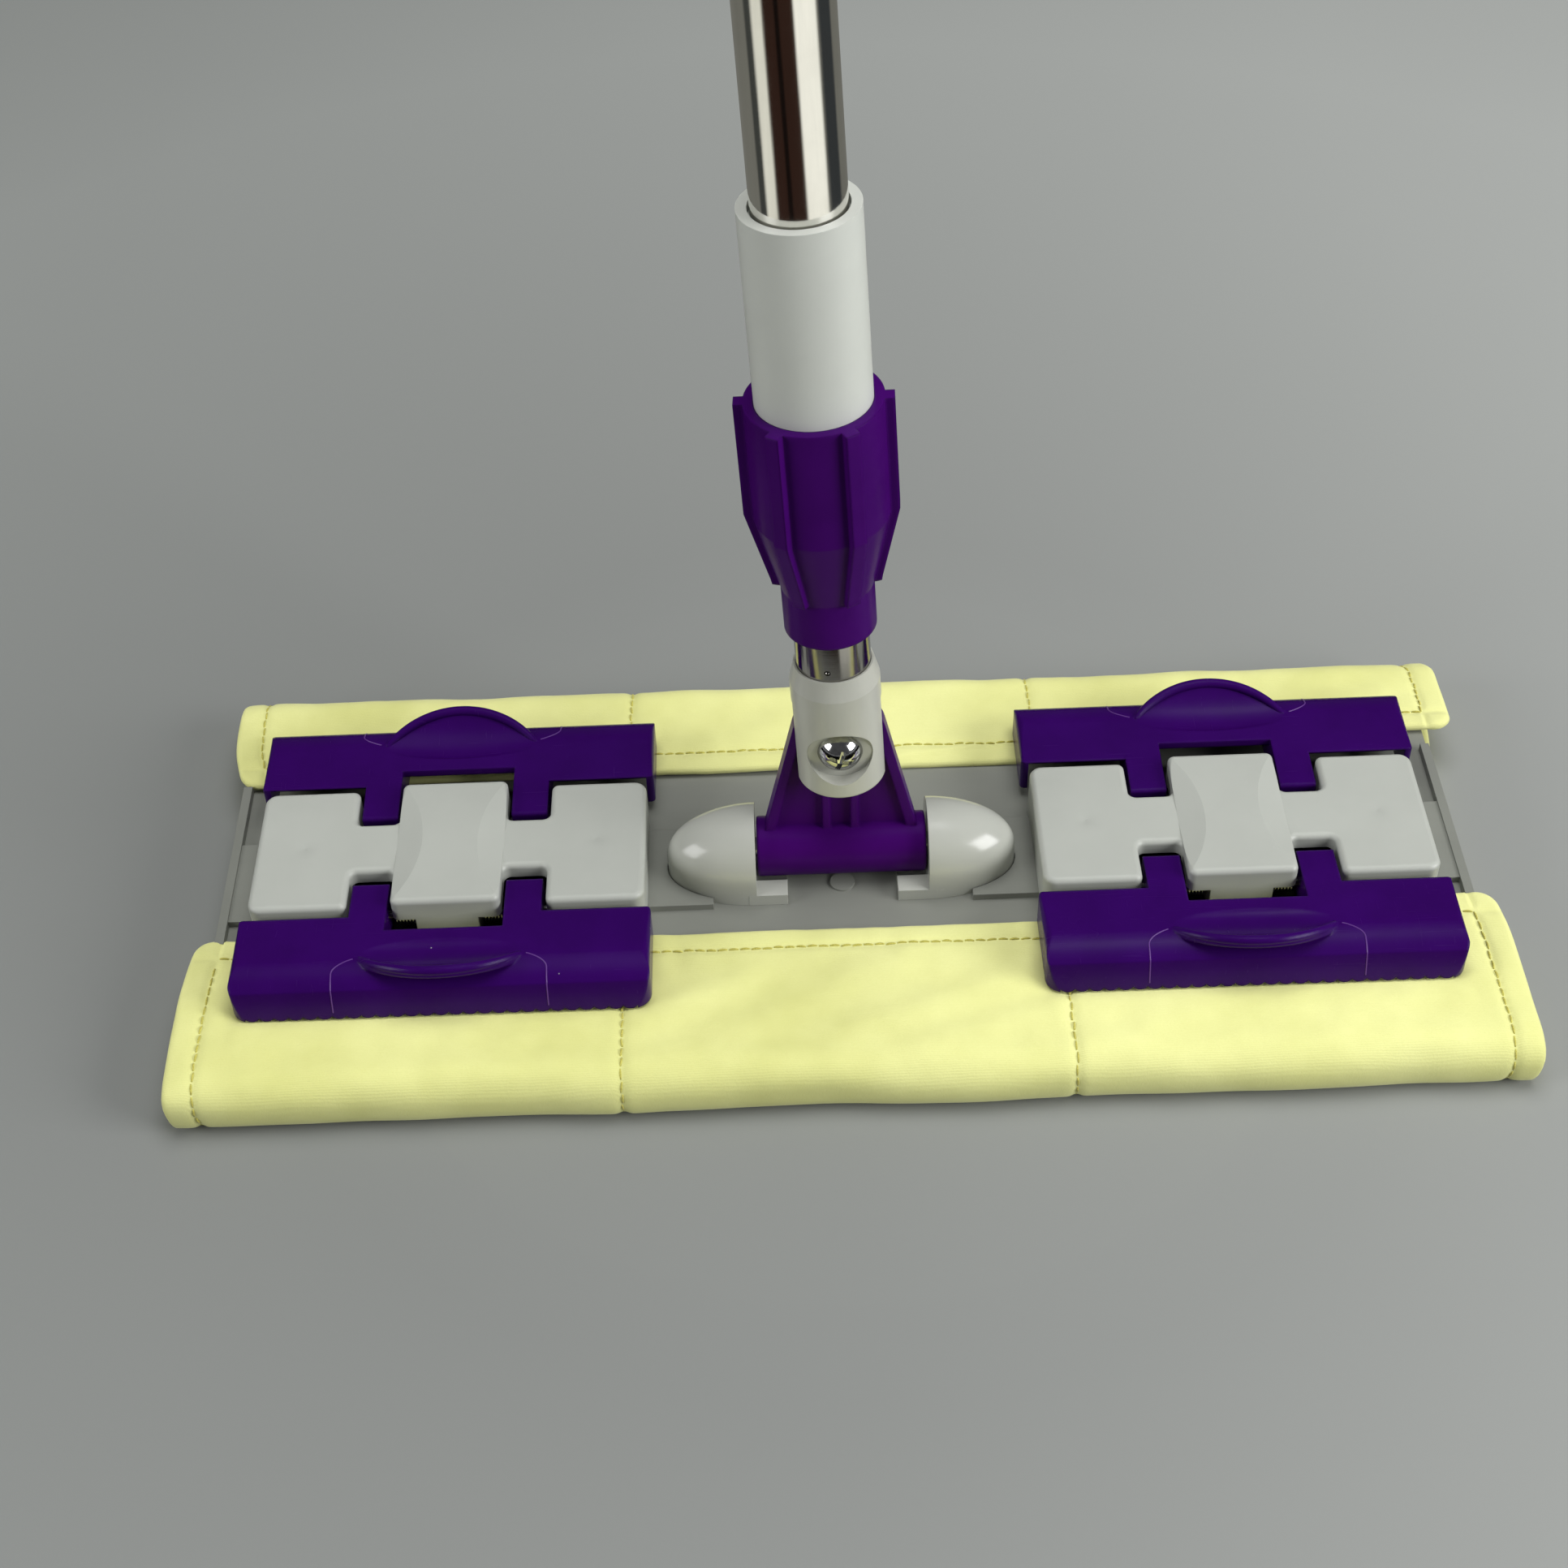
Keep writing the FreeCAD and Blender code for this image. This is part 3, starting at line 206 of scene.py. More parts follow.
def tinted(colour, factor):
    return tuple(min(c * factor, 1.0) for c in colour)


def plastic(name, colour, roughness, mottle=0.04, peel=0.02, scratch=0.12, edge=0.5, dust=0.5,
            edge_radius=0.35 * MM, mottle_scale=45.0, flow=(1, 1, 1)):
    """Moulded plastic: cloudy colour, orange peel, fine scratches, dust specks, worn edges."""
    tree = Tree(name)
    clouds = tree.noise(mottle_scale, 4.0, 0.6, stretch=flow)
    base = tree.mix(tree.ramp(clouds, 0.35, 0.65),
                    tinted(colour, 1 - mottle), tinted(colour, 1 + mottle))
    rounded = tree.soft_edges(edge_radius)
    worn = tree.edge_mask(rounded)
    base = tree.mix(tree.maths("MULTIPLY", worn, 0.22 * edge), base, tinted(colour, 1.6))
    speck = tree.node("ShaderNodeTexVoronoi")
    tree.feed(speck, {"Vector": tree.coordinates, "Scale": 130.0})
    rare = tree.node("ShaderNodeSeparateColor")
    tree.links.new(speck.outputs["Color"], rare.inputs[0])
    dot = tree.maths("MULTIPLY", tree.ramp(speck.outputs["Distance"], 0.03, 0.018),
                     tree.ramp(rare.outputs[0], 0.955, 0.96))
    base = tree.mix(tree.maths("MULTIPLY", dot, dust), base, srgb(215, 214, 208))
    lines = tree.noise(1.0, 2.0, 0.5, stretch=(55, 1300, 420), turn=(0.1, 0.2, 0.5))
    more = tree.noise(1.0, 2.0, 0.5, stretch=(1500, 60, 380), turn=(0.2, 0.1, -0.35))
    marks = tree.maths("MAXIMUM", tree.ramp(lines, 0.68, 0.75), tree.ramp(more, 0.70, 0.77))
    patches = tree.ramp(tree.noise(28.0, 3.0), 0.42, 0.62)
    marks = tree.maths("MULTIPLY", marks, patches)
    rough = tree.maths("MULTIPLY_ADD", marks, scratch, roughness)
    rough = tree.maths("MULTIPLY_ADD", tree.ramp(tree.noise(20.0, 4.0), 0.3, 0.7), 0.06, rough)
    skin = tree.maths("ADD", tree.noise(260.0, 2.0),
                      tree.maths("MULTIPLY", tree.noise(2400.0, 2.0), 0.25))
    normal = tree.bump(skin, 0.4 * MM, peel, rounded)
    normal = tree.bump(tree.maths("MULTIPLY", marks, -1.0), 0.02 * MM, 0.5, normal)
    tree.shade(Base_Color=base, Roughness=rough, Normal=normal)
    return tree


def sink_marks(tree, spots_x, radius):
    """Shallow round dents in a moulding, over the bosses at +-X positions on the plate's middle line,
    with painted shade darkening the colour in each dent.
    """
    split = tree.node("ShaderNodeSeparateXYZ")
    tree.feed(split, {"Vector": tree.coordinates})
    away = tree.maths("ABSOLUTE", split.outputs["X"])
    for spot in spots_x:
        away = tree.maths("ABSOLUTE", tree.maths("SUBTRACT", away, spot))
    gap = tree.maths("SQRT", tree.maths("ADD", tree.maths("MULTIPLY", away, away),
                                        tree.maths("MULTIPLY", split.outputs["Y"], split.outputs["Y"])))
    dent = tree.ramp(gap, radius, 0.0)
    dent = tree.maths("MULTIPLY", dent, dent)
    old = tree.shader.inputs["Normal"].links[0].from_socket
    tree.shade(Normal=tree.bump(dent, -0.35 * MM, 1.0, old))
    colour = tree.shader.inputs["Base Color"].links[0].from_socket
    # painted shade: the colour darkens towards the middle of each dent
    tree.shade(Base_Color=tree.mix(tree.maths("MULTIPLY", dent, 0.12), colour, srgb(140, 142, 138)))


def painted_shade_under_covers(tree, centre_x, half_size):
    """Near-black painted shade on the plate below the two clip covers, within half_size of +-centre_x.
    """
    split = tree.node("ShaderNodeSeparateXYZ")
    tree.feed(split, {"Vector": tree.coordinates})
    away = tree.maths("ABSOLUTE", split.outputs["X"])
    across = tree.maths("ABSOLUTE", tree.maths("SUBTRACT", away, centre_x))
    along = tree.maths("ABSOLUTE", split.outputs["Y"])
    inside = tree.maths("MULTIPLY", tree.ramp(across, half_size[0] + MM, half_size[0] - MM),
                        tree.ramp(along, half_size[1] + MM, half_size[1] - MM))
    colour = tree.shader.inputs["Base Color"].links[0].from_socket
    # painted shade: the plate turns near-black under the covers, where deep shade falls
    tree.shade(Base_Color=tree.mix(inside, colour, srgb(26, 26, 25)))


def polished_steel(name, colour, roughness, lean):
    """Drawn and polished tube: fine rings and lengthwise streaks, small smudges."""
    tree = Tree(name)
    rings = tree.noise(1.0, 3.0, 0.6, stretch=(25, 25, 2600), turn=lean)
    streaks = tree.noise(1.0, 3.0, 0.6, stretch=(420, 420, 3), turn=lean)
    smudge = tree.ramp(tree.noise(34.0, 4.0, 0.65), 0.45, 0.75)
    base = tree.mix(tree.ramp(streaks, 0.3, 0.7, 0.0, 0.5), colour, tinted(colour, 0.86))
    base = tree.mix(tree.maths("MULTIPLY", smudge, 0.12), base, srgb(120, 112, 100))
    rough = tree.maths("MULTIPLY_ADD", rings, 0.07, roughness)
    rough = tree.maths("MULTIPLY_ADD", smudge, 0.05, rough)
    normal = tree.bump(rings, 0.02 * MM, 0.25, tree.bump(streaks, 0.04 * MM, 0.25))
    tree.shade(Base_Color=base, Roughness=rough, Normal=normal, Metallic=1.0)
    return tree.material


def bright_wire(name, colour, roughness, painted_rim_shade=0.0):
    tree = Tree(name)
    stain = tree.noise(600.0, 3.0)
    base = tree.mix(tree.ramp(stain, 0.4, 0.7), colour, tinted(colour, 0.7))
    # painted shade: the colour darkens towards the rim, where the surface turns away from the camera
    facing = tree.node("ShaderNodeLayerWeight")
    tree.feed(facing, {"Blend": 0.5})
    shade = tree.maths("MULTIPLY", tree.ramp(facing.outputs["Facing"], 0.25, 0.85), painted_rim_shade)
    base = tree.mix(shade, base, srgb(52, 52, 54))
    tree.shade(Base_Color=base, Metallic=1.0, Normal=tree.bump(stain, 0.02 * MM, 0.3),
               Roughness=tree.ramp(stain, 0.3, 0.7, roughness, roughness + 0.12))
    return tree.material


def knitted_cloth():
    """Brushed microfibre knit: fine ribs along the plate, nap, soft shading from handling."""
    tree = Tree("cloth_knit")
    pale, deep = srgb(228, 229, 158), srgb(208, 209, 134)
    clouds = tree.noise(16.0, 4.0, 0.6)
    nap = tree.noise(1500.0, 3.0, 0.7)
    ribs = tree.node("ShaderNodeTexWave", wave_type="BANDS", bands_direction="Y")
    tree.feed(ribs, {"Vector": tree.coordinates, "Scale": 560.0, "Distortion": 2.5, "Detail": 2.0,
                     "Detail Scale": 1.5})
    base = tree.mix(tree.ramp(clouds, 0.32, 0.68), deep, pale)
    base = tree.mix(tree.ramp(nap, 0.35, 0.75, 0.0, 0.16), base, srgb(208, 209, 124))
    base = tree.mix(tree.ramp(ribs.outputs["Fac"], 0.2, 0.8, 0.0, 0.05), base, srgb(204, 205, 118))
    height = tree.maths("ADD", tree.maths("MULTIPLY", ribs.outputs["Fac"], 0.25), nap)
    height = tree.maths("MULTIPLY_ADD", tree.noise(260.0, 3.0), 0.9, height)
    creases = tree.noise(1.0, 3.0, 0.5, stretch=(15, 34, 30), turn=(0, 0, math.radians(-38)))
    soft = tree.bump(creases, 5.0 * MM, 0.22)
    tree.shade(Base_Color=base, Roughness=0.92, Normal=tree.bump(height, 0.18 * MM, 0.5, soft),
               Sheen_Weight=0.25, Sheen_Roughness=0.45, Sheen_Tint=(1.0, 1.0, 0.86, 1.0))
    tree.shader.inputs["Specular IOR Level"].default_value = 0.2
    return tree.material


def sewing_thread():
    tree = Tree("cloth_thread")
    twist = tree.noise(2600.0, 2.0)
    base = tree.mix(tree.ramp(twist, 0.35, 0.65), srgb(166, 158, 66), srgb(200, 194, 94))
    tree.shade(Base_Color=base, Roughness=0.6, Normal=tree.bump(twist, 0.1 * MM, 0.6),
               Sheen_Weight=0.2)
    return tree.material


def floor_paint_and_painted_light():
    tree = Tree("floor_paint_and_painted_light")
    clouds = tree.noise(3.0, 3.0)
    grain = tree.noise(900.0, 2.0)
    grey = srgb(150, 153, 150)
    base = tree.mix(tree.ramp(clouds, 0.3, 0.7), tinted(grey, 0.985), tinted(grey, 1.015))
    away = tree.node("ShaderNodeVectorMath", operation="LENGTH")
    tree.feed(away, {0: tree.coordinates})
    # painted shadow: the floor darkens towards the mop, inside 0.55 m of the middle
    base = tree.mix(tree.ramp(away.outputs["Value"], 0.55, 0.18, 0.0, 1.0), base, tinted(grey, 0.65))
    split = tree.node("ShaderNodeSeparateXYZ")
    tree.feed(split, {"Vector": tree.coordinates})
    # painted light and shade: the floor lightens towards +X and darkens towards -X
    base = tree.mix(tree.ramp(split.outputs["X"], -0.45, 0.45, 0.0, 0.22), base, srgb(205, 207, 204))
    base = tree.mix(tree.ramp(split.outputs["X"], 0.25, -0.30, 0.0, 0.16), base, srgb(70, 73, 74))
    # painted light: the floor glows more and more beyond 1 m from the middle
    painted_far_light = tree.ramp(away.outputs["Value"], 1.0, 2.6, 0.0, 0.30)
    tree.shade(Base_Color=base, Roughness=0.75, Normal=tree.bump(grain, 0.1 * MM, 0.15),
               Emission_Color=(0.80, 0.81, 0.82, 1.0), Emission_Strength=painted_far_light)
    return tree.material


def set_material(node, material):
    data = nodes[node].data
    data.materials.clear()
    data.materials.append(material)
    data.polygons.foreach_set("material_index", [0] * len(data.polygons))


# ---------------------------------------------------------------- the cloth

def smooth(value):
    """0 below 0, 1 above 1, and an even S between."""
    t = np.clip(value, 0.0, 1.0)
    return t * t * (3 - 2 * t)


def bell(value, width):
    return np.exp(-(value / width) ** 2)


def graded(low, high, stops, fine, coarse, reach):
    """Positions from low to high, fine near the stops and coarse elsewhere."""
    places = [low]
    while places[-1] < high:
        near = min(abs(places[-1] - s) for s in stops)
        places.append(places[-1] + fine + (coarse - fine) * float(smooth(near / reach)))
    places = np.array(places)
    return low + (places - low) * (high - low) / (places[-1] - low)


def wave_field(x, y, count, seed, lengths, stretch=(1.0, 1.0)):
    """Smooth random height in about -1..1 from a sum of waves."""
    draw = np.random.default_rng(seed)
    total = np.zeros(np.broadcast(x, y).shape)
    for _ in range(count):
        length = draw.uniform(*lengths)
        turn = draw.uniform(0, 2 * math.pi)
        kx = math.cos(turn) * stretch[0] * 2 * math.pi / length
        ky = math.sin(turn) * stretch[1] * 2 * math.pi / length
        total = total + np.sin(kx * x + ky * y + draw.uniform(0, 2 * math.pi))
    return total / math.sqrt(count)


flap_thick = 3.2 * MM
pad_thick = 4.6 * MM
cloth_half = cloth_high.x - 0.5 * MM
flap_z = plate_top + 0.3 * MM + flap_thick / 2
side_y = cloth_high.y - flap_thick / 2
top_bend = 7.5 * MM
low_bend = 5.0 * MM
front_edge = -26.5 * MM
back_edge = 45.5 * MM
hem = 7.6 * MM
end_hem = 9.0 * MM
seams_x = (-67 * MM, 65 * MM)
jaw_bite_y = 56 * MM
jaw_half = 62 * MM


def wrap_path():
    """Middle line of the wrapped cloth in YZ, as (length so far, y, z, normal) arrays."""
    def bend(centre, radius, first, last, count=14):
        turns = np.radians(np.linspace(first, last, count))
        return [(centre[0] + radius * math.cos(t), centre[1] + radius * math.sin(t)) for t in turns]

    low_z = pad_thick / 2
    points = [(front_edge, flap_z)]
    points += bend((-side_y + top_bend, flap_z - top_bend), top_bend, 90, 180)
    points += bend((-side_y + low_bend, low_z + low_bend), low_bend, 180, 270)
    points += bend((side_y - low_bend, low_z + low_bend), low_bend, 270, 360)
    points += bend((side_y - top_bend, flap_z - top_bend), top_bend, 0, 90)
    points.append((back_edge, flap_z))
    points = np.array(points)
    steps = np.hypot(*np.diff(points, axis=0).T)
    length = np.concatenate([[0], np.cumsum(steps)])
    return length, points


path_length, path_points = wrap_path()
wrap_total = path_length[-1]


def wrap_at(s):
    """Point and outward normal (y, z) at a length along the wrap."""
    y = np.interp(s, path_length, path_points[:, 0])
    z = np.interp(s, path_length, path_points[:, 1])
    step = 0.6 * MM
    dy, dz = (np.interp(s + step, path_length, path_points[:, k])
              - np.interp(s - step, path_length, path_points[:, k]) for k in (0, 1))
    size = np.hypot(dy, dz)
    return y, z, dz / size, -dy / size


def cloth_surface():
    """Outer and inner faces of the cloth as grids of points, with rows along the wrap."""
    stops_s = (0, hem, wrap_total - hem, wrap_total)
    rows = graded(0, wrap_total, stops_s, 0.55 * MM, 1.7 * MM, 9 * MM)
    stops_x = (-cloth_half, -cloth_half + end_hem, *seams_x, cloth_half - end_hem, cloth_half)
    columns = graded(-cloth_half, cloth_half, stops_x, 0.6 * MM, 1.9 * MM, 9 * MM)
    s, x0 = np.meshgrid(rows, columns, indexing="ij")
    y0, z0, ny, nz = wrap_at(s)

    # distance to each border, with the corners drawn in to a radius
    corner = 6 * MM
    from_end = cloth_half - np.abs(x0)
    from_side = np.minimum(s, wrap_total - s)
    px = np.clip(corner - from_end, 0, None)
    py = np.clip(corner - from_side, 0, None)
    both = (px > 0) & (py > 0)
    shrink = np.where(both, np.maximum(px, py) / np.maximum(np.hypot(px, py), 1e-9), 1.0)
    x0 = x0 - np.sign(x0) * np.where(both, px * (1 - shrink), 0)
    s = s + np.where(s < wrap_total / 2, 1, -1) * np.where(both, py * (1 - shrink), 0)
    y0, z0, ny, nz = wrap_at(s)
    border = np.where(both, corner - np.hypot(px * shrink, py * shrink), np.minimum(from_end, from_side))

    on_front = y0 < 0
    flat_top = smooth((z0 - (flap_z - 3 * MM)) / (3 * MM))
    x, y, z = x0.copy(), y0.copy(), z0.copy()

    # the ends bow: furthest out on the flaps, drawn in below the plate
    x_share = smooth((np.abs(x0) - 120 * MM) / (cloth_half - 120 * MM))
    below = smooth((12 * MM - z0) / (10 * MM))
    middle = smooth((70 * MM - np.abs(y0)) / (50 * MM)) * below
    tip = bell(np.minimum(s, wrap_total - s), 12 * MM)
    reach = -1.0 * MM * below - 6.0 * MM * middle - 2.0 * MM * tip * on_front
    reach = reach + 1.8 * MM * (~on_front) * (x0 > 0) * flat_top
    reach = reach - 2.0 * MM * (~on_front) * (x0 < 0)
    reach = reach - 4.5 * MM * tip * (~on_front) * (x0 < 0)
    x = x + np.sign(x0) * reach * x_share

    # the free edges wander
    near_front = smooth(1 - s / (38 * MM))
    near_back = smooth(1 - (wrap_total - s) / (30 * MM))
    ends = smooth((np.abs(x0) - 120 * MM) / (80 * MM))
    sway = wave_field(x0, 0 * x0, 4, 3, (90 * MM, 220 * MM))
    y = y + near_front * (-1.2 * MM + 4.2 * MM * ends + 0.5 * MM * sway)
    slant = smooth((x0 - 58 * MM) / (60 * MM))
    y = y + near_back * (-3.6 * MM + 7.4 * MM * slant + 0.4 * MM * sway)
    outline = wave_field(x0, 0 * x0, 5, 11, (60 * MM, 190 * MM))
    bulge = bell(z0 - 8 * MM, 7 * MM) * (1 - smooth((np.abs(y0) - 70 * MM) / (-8 * MM)))
    y = y + np.sign(y0) * bulge * (0.5 * MM * outline + 0.7 * MM * (x0 / cloth_half) * on_front)

    # height of the middle layer: puffs, folds and the press of the jaws
    to_module = np.minimum(np.abs(x0 - module_x["left"]), np.abs(x0 - module_x["right"]))
    under_jaw = smooth((jaw_half + 5 * MM - to_module) / (5 * MM))
    under_jaw = under_jaw * smooth((60 * MM - np.abs(y0)) / (3 * MM))
    free = 1 - under_jaw
    flap = flat_top * free
    lift = 0.30 * MM * wave_field(x0, y0, 7, 21, (28 * MM, 60 * MM)) * flap
    lift = lift + 0.10 * MM * wave_field(x0, y0, 9, 22, (9 * MM, 18 * MM)) * flap
    for fold in FOLDS:
        lift = lift + fold_height(x, y, *fold) * free * smooth((z0 - 9 * MM) / (5 * MM))
    side_puff = wave_field(x0, s, 7, 23, (24 * MM, 70 * MM), (1.0, 0.5))
    lift = lift + 0.30 * MM * side_puff * (1 - flat_top) * smooth((z0 - 2 * MM) / (5 * MM))
    seam_gap = np.minimum.reduce([np.abs(x0 - seam) for seam in seams_x])
    pucker = wave_field(0.12 * x0, s, 6, 24, (7 * MM, 13 * MM))
    lift = lift + 0.16 * MM * pucker * (bell(seam_gap, 9 * MM) + bell(from_end - end_hem, 8 * MM)) * free
    pucker_hem = wave_field(x0, 0.12 * s, 6, 25, (7 * MM, 13 * MM))
    lift = lift + 0.12 * MM * pucker_hem * bell(from_side - hem, 8 * MM) * free
    bite = smooth((jaw_half + 1 * MM - to_module) / (3 * MM))
    lift = lift - 0.7 * MM * bite * bell(np.abs(y0) - jaw_bite_y, 2.6 * MM) * flat_top
    lift = lift + 0.5 * MM * bite * bell(np.abs(y0) - jaw_bite_y - 7 * MM, 5 * MM) * flat_top
    upper_edge = 42.4 * MM + 6.6 * MM * smooth((x0 - 8 * MM) / (50 * MM))
    peeking = smooth((x0 - 4 * MM) / (10 * MM)) * smooth((62 * MM - x0) / (2 * MM)) * (y0 > 0) * flat_top
    lift = lift - 0.9 * MM * peeking * smooth((upper_edge - y) / (0.7 * MM) + 0.5)
    ends_droop = smooth((np.abs(x0) - 190 * MM) / (11 * MM)) * flat_top
    lift = lift - 0.8 * MM * ends_droop * (0.4 + 0.6 * smooth((np.abs(y0) - 55 * MM) / (25 * MM)))

    # thickness: round rims, stitched grooves, fuller between
    thick = flap_thick + (pad_thick - flap_thick) * smooth((7 * MM - z0) / (5 * MM))
    rim = 2.1 * MM
    edge = np.sqrt(np.clip(1 - (1 - np.clip(border / rim, 0, 1)) ** 2, 0, 1))
    stitch_line = np.minimum(np.abs(from_side - hem), np.abs(from_end - end_hem))
    in_hem = (from_side < hem - 1 * MM) & (from_end > end_hem)
    stitch_line = np.where(in_hem, np.abs(from_side - hem), stitch_line)
    groove = np.maximum(bell(stitch_line, 1.5 * MM), bell(seam_gap, 1.6 * MM))
    outer_half = thick / 2 * edge * (1 - 0.40 * groove)
    inner_half = thick / 2 * edge * (1 - 0.15 * groove)
    roll = smooth(border / (2 * MM)) * bell(border - 4 * MM, 3 * MM) * free
    outer_half = outer_half + 0.18 * MM * roll
    outward = np.stack([0 * x, ny, nz], axis=-1)
    middle_point = np.stack([x, y, z], axis=-1) + outward * lift[..., None]
    outer = middle_point + outward * outer_half[..., None]
    inner = middle_point - outward * inner_half[..., None]
    floor_z = cloth_low.z
    outer[..., 2] = np.maximum(outer[..., 2], floor_z)
    return rows, columns, outer, inner


# each fold: start, end, height and half width, all in millimetres
FOLDS = [
    ((-30, -66), (20, -40), 0.80, 6.0),
    ((2, -68), (56, -48), 1.05, 5.5),
    ((-52, -74), (-8, -80), 0.60, 5.0),
    ((22, -74), (60, -62), 0.70, 4.5),
    ((-58, -62), (-34, -48), 0.60, 5.0),
    ((72, -76), (98, -68), 0.45, 5.0),
    ((-175, -62), (-150, -74), 0.45, 6.0),
    ((-192, -40), (-178, -66), 0.45, 5.0),
    ((178, -44), (190, -66), 0.45, 5.0),
    ((95, -66), (150, -70), 0.30, 7.0),
    ((-50, 52), (-10, 62), 0.30, 7.0),
    ((10, 58), (50, 68), 0.30, 7.0),
]


def fold_height(x, y, start, end, height, width):
    """Long soft ridge from start to end."""
    a, b = np.array(start) * MM, np.array(end) * MM
    along = b - a
    size = np.hypot(*along)
    t = ((x - a[0]) * along[0] + (y - a[1]) * along[1]) / size ** 2
    off = np.abs((x - a[0]) * along[1] - (y - a[1]) * along[0]) / size
    past = np.clip(np.abs(t - 0.5) - 0.5, 0, None) * size
    return height * MM * bell(off, width * MM) * bell(past, 2 * width * MM)


def grid_mesh(name, outer, inner):
    """Closed mesh of two grids that meet along their borders."""
    count_rows, count_columns = outer.shape[:2]
    vertices = np.concatenate([outer.reshape(-1, 3), inner.reshape(-1, 3)])
    index = np.arange(count_rows * count_columns).reshape(count_rows, count_columns)
    faces = []
    for row in range(count_rows - 1):
        a, b = index[row, :-1], index[row, 1:]
        c, d = index[row + 1, 1:], index[row + 1, :-1]
        faces += np.stack([a, b, c, d], axis=1).tolist()
        a, b, c, d = (k + index.size for k in (a, b, c, d))
        faces += np.stack([d, c, b, a], axis=1).tolist()
    rim = [index[0, ::-1], index[:, 0], index[-1, :], index[::-1, -1]]
    for line in rim:
        for a, b in zip(line[:-1], line[1:]):
            faces.append([int(a), int(b), int(b + index.size), int(a + index.size)])
    mesh = bpy.data.meshes.new(name)
    mesh.from_pydata(vertices.tolist(), [], faces)
    piece = bpy.data.objects.new(name, mesh)
    bpy.context.scene.collection.objects.link(piece)
    clean = bmesh.new()
    clean.from_mesh(mesh)
    bmesh.ops.remove_doubles(clean, verts=clean.verts, dist=0.02 * MM)
    bmesh.ops.recalc_face_normals(clean, faces=clean.faces)
    clean.to_mesh(mesh)
    clean.free()
    mesh.polygons.foreach_set("use_smooth", [True] * len(mesh.polygons))
    return piece


def add_cloth():
    rows, columns, outer, inner = cloth_surface()
    cloth = grid_mesh("mop_cloth_soft", outer, inner)
    cloth.data.materials.append(knitted_cloth())
    return cloth, rows, columns, outer


def surface_point(rows, columns, outer, s, x):
    """Point on the cloth's outer face and its normal."""
    i = min(max(int(np.searchsorted(rows, s)) - 1, 0), len(rows) - 2)
    j = min(max(int(np.searchsorted(columns, x)) - 1, 0), len(columns) - 2)
    a = (s - rows[i]) / (rows[i + 1] - rows[i])
    b = (x - columns[j]) / (columns[j + 1] - columns[j])
    p = ((1 - a) * (1 - b) * outer[i, j] + (1 - a) * b * outer[i, j + 1]
         + a * (1 - b) * outer[i + 1, j] + a * b * outer[i + 1, j + 1])
    normal = np.cross(outer[i, j + 1] - outer[i, j], outer[i + 1, j] - outer[i, j])
    return p, -normal / (np.linalg.norm(normal) + 1e-12)


def stitch_route(stops, pitch):
    """Points at stitch spacing along straight runs in (s, x)."""
    places = []
    for (s0, x0), (s1, x1) in zip(stops, stops[1:]):
        count = max(int(round(math.hypot(s1 - s0, x1 - x0) / pitch)), 1)
        for k in range(count):
            t = k / count
            places.append((s0 + (s1 - s0) * t, x0 + (x1 - x0) * t))
    return places


def add_stitches(rows, columns, outer):
    """Lockstitch threads along the hems and the two cross seams."""
    pitch = 3.4 * MM
    radius = 0.33 * MM
    left, right = -cloth_half + end_hem, cloth_half - end_hem
    low, high = hem, wrap_total - hem
    routes = [[(low, left), (low, right), (high, right), (high, left), (low, left)]]
    routes += [[(low, x), (high, x)] for x in seams_x]
    vertices, faces = [], []
    for route in routes:
        places = stitch_route(route, pitch)
        for (s0, x0), (s1, x1) in zip(places, places[1:]):
            a, normal_a = surface_point(rows, columns, outer, s0, x0)
            b, normal_b = surface_point(rows, columns, outer, s1, x1)
            if np.linalg.norm(b - a) > 2 * pitch:
                continue
            normal = normal_a + normal_b
            normal /= np.linalg.norm(normal)
            along = b - a
            side = np.cross(normal, along)
            side /= np.linalg.norm(side) + 1e-12
            skew = rng.uniform(-0.28, 0.28, 2) * MM
            rings = 6
            start = len(vertices)
            for ring in range(rings):
                t = 0.08 + 0.84 * ring / (rings - 1)
                arch = math.sin(math.pi * t)
                centre = a + along * t + normal * (0.42 * MM * arch - 0.12 * MM)
                centre = centre + side * (skew[0] * (1 - t) + skew[1] * t)
                size = radius * (0.55 + 0.45 * math.sqrt(arch))
                for corner in range(6):
                    turn = corner * math.pi / 3
                    vertices.append(centre + size * (math.cos(turn) * side + math.sin(turn) * normal))
            for ring in range(rings - 1):
                for corner in range(6):
                    p = start + ring * 6 + corner
                    q = start + ring * 6 + (corner + 1) % 6
                    faces.append([p, q, q + 6, p + 6])
            faces.append([start + k for k in range(5, -1, -1)])
            faces.append([start + (rings - 1) * 6 + k for k in range(6)])
    mesh = bpy.data.meshes.new("cloth_stitches")
    mesh.from_pydata([v.tolist() for v in vertices], [], faces)
    mesh.polygons.foreach_set("use_smooth", [True] * len(mesh.polygons))
    mesh.materials.append(sewing_thread())
    threads = bpy.data.objects.new("cloth_stitches", mesh)
    bpy.context.scene.collection.objects.link(threads)
    return threads


# ---------------------------------------------------------------- small parts

def curve_piece(name, lines, radius, material, resolution=3, taper=None):
    """One object of round wires through the given lists of points; taper(share) scales the radius."""
    curve = bpy.data.curves.new(name, "CURVE")
    curve.dimensions = "3D"
    curve.bevel_depth = radius
    curve.bevel_resolution = resolution
    curve.use_fill_caps = True
    for points in lines:
        spline = curve.splines.new("POLY")
        spline.points.add(len(points) - 1)
        for number, (spot, point) in enumerate(zip(spline.points, points)):
            spot.co = (*point, 1.0)
            spot.radius = taper(number / (len(points) - 1)) if taper else 1.0
    curve.materials.append(material)
    piece = bpy.data.objects.new(name, curve)
    bpy.context.scene.collection.objects.link(piece)
    return piece


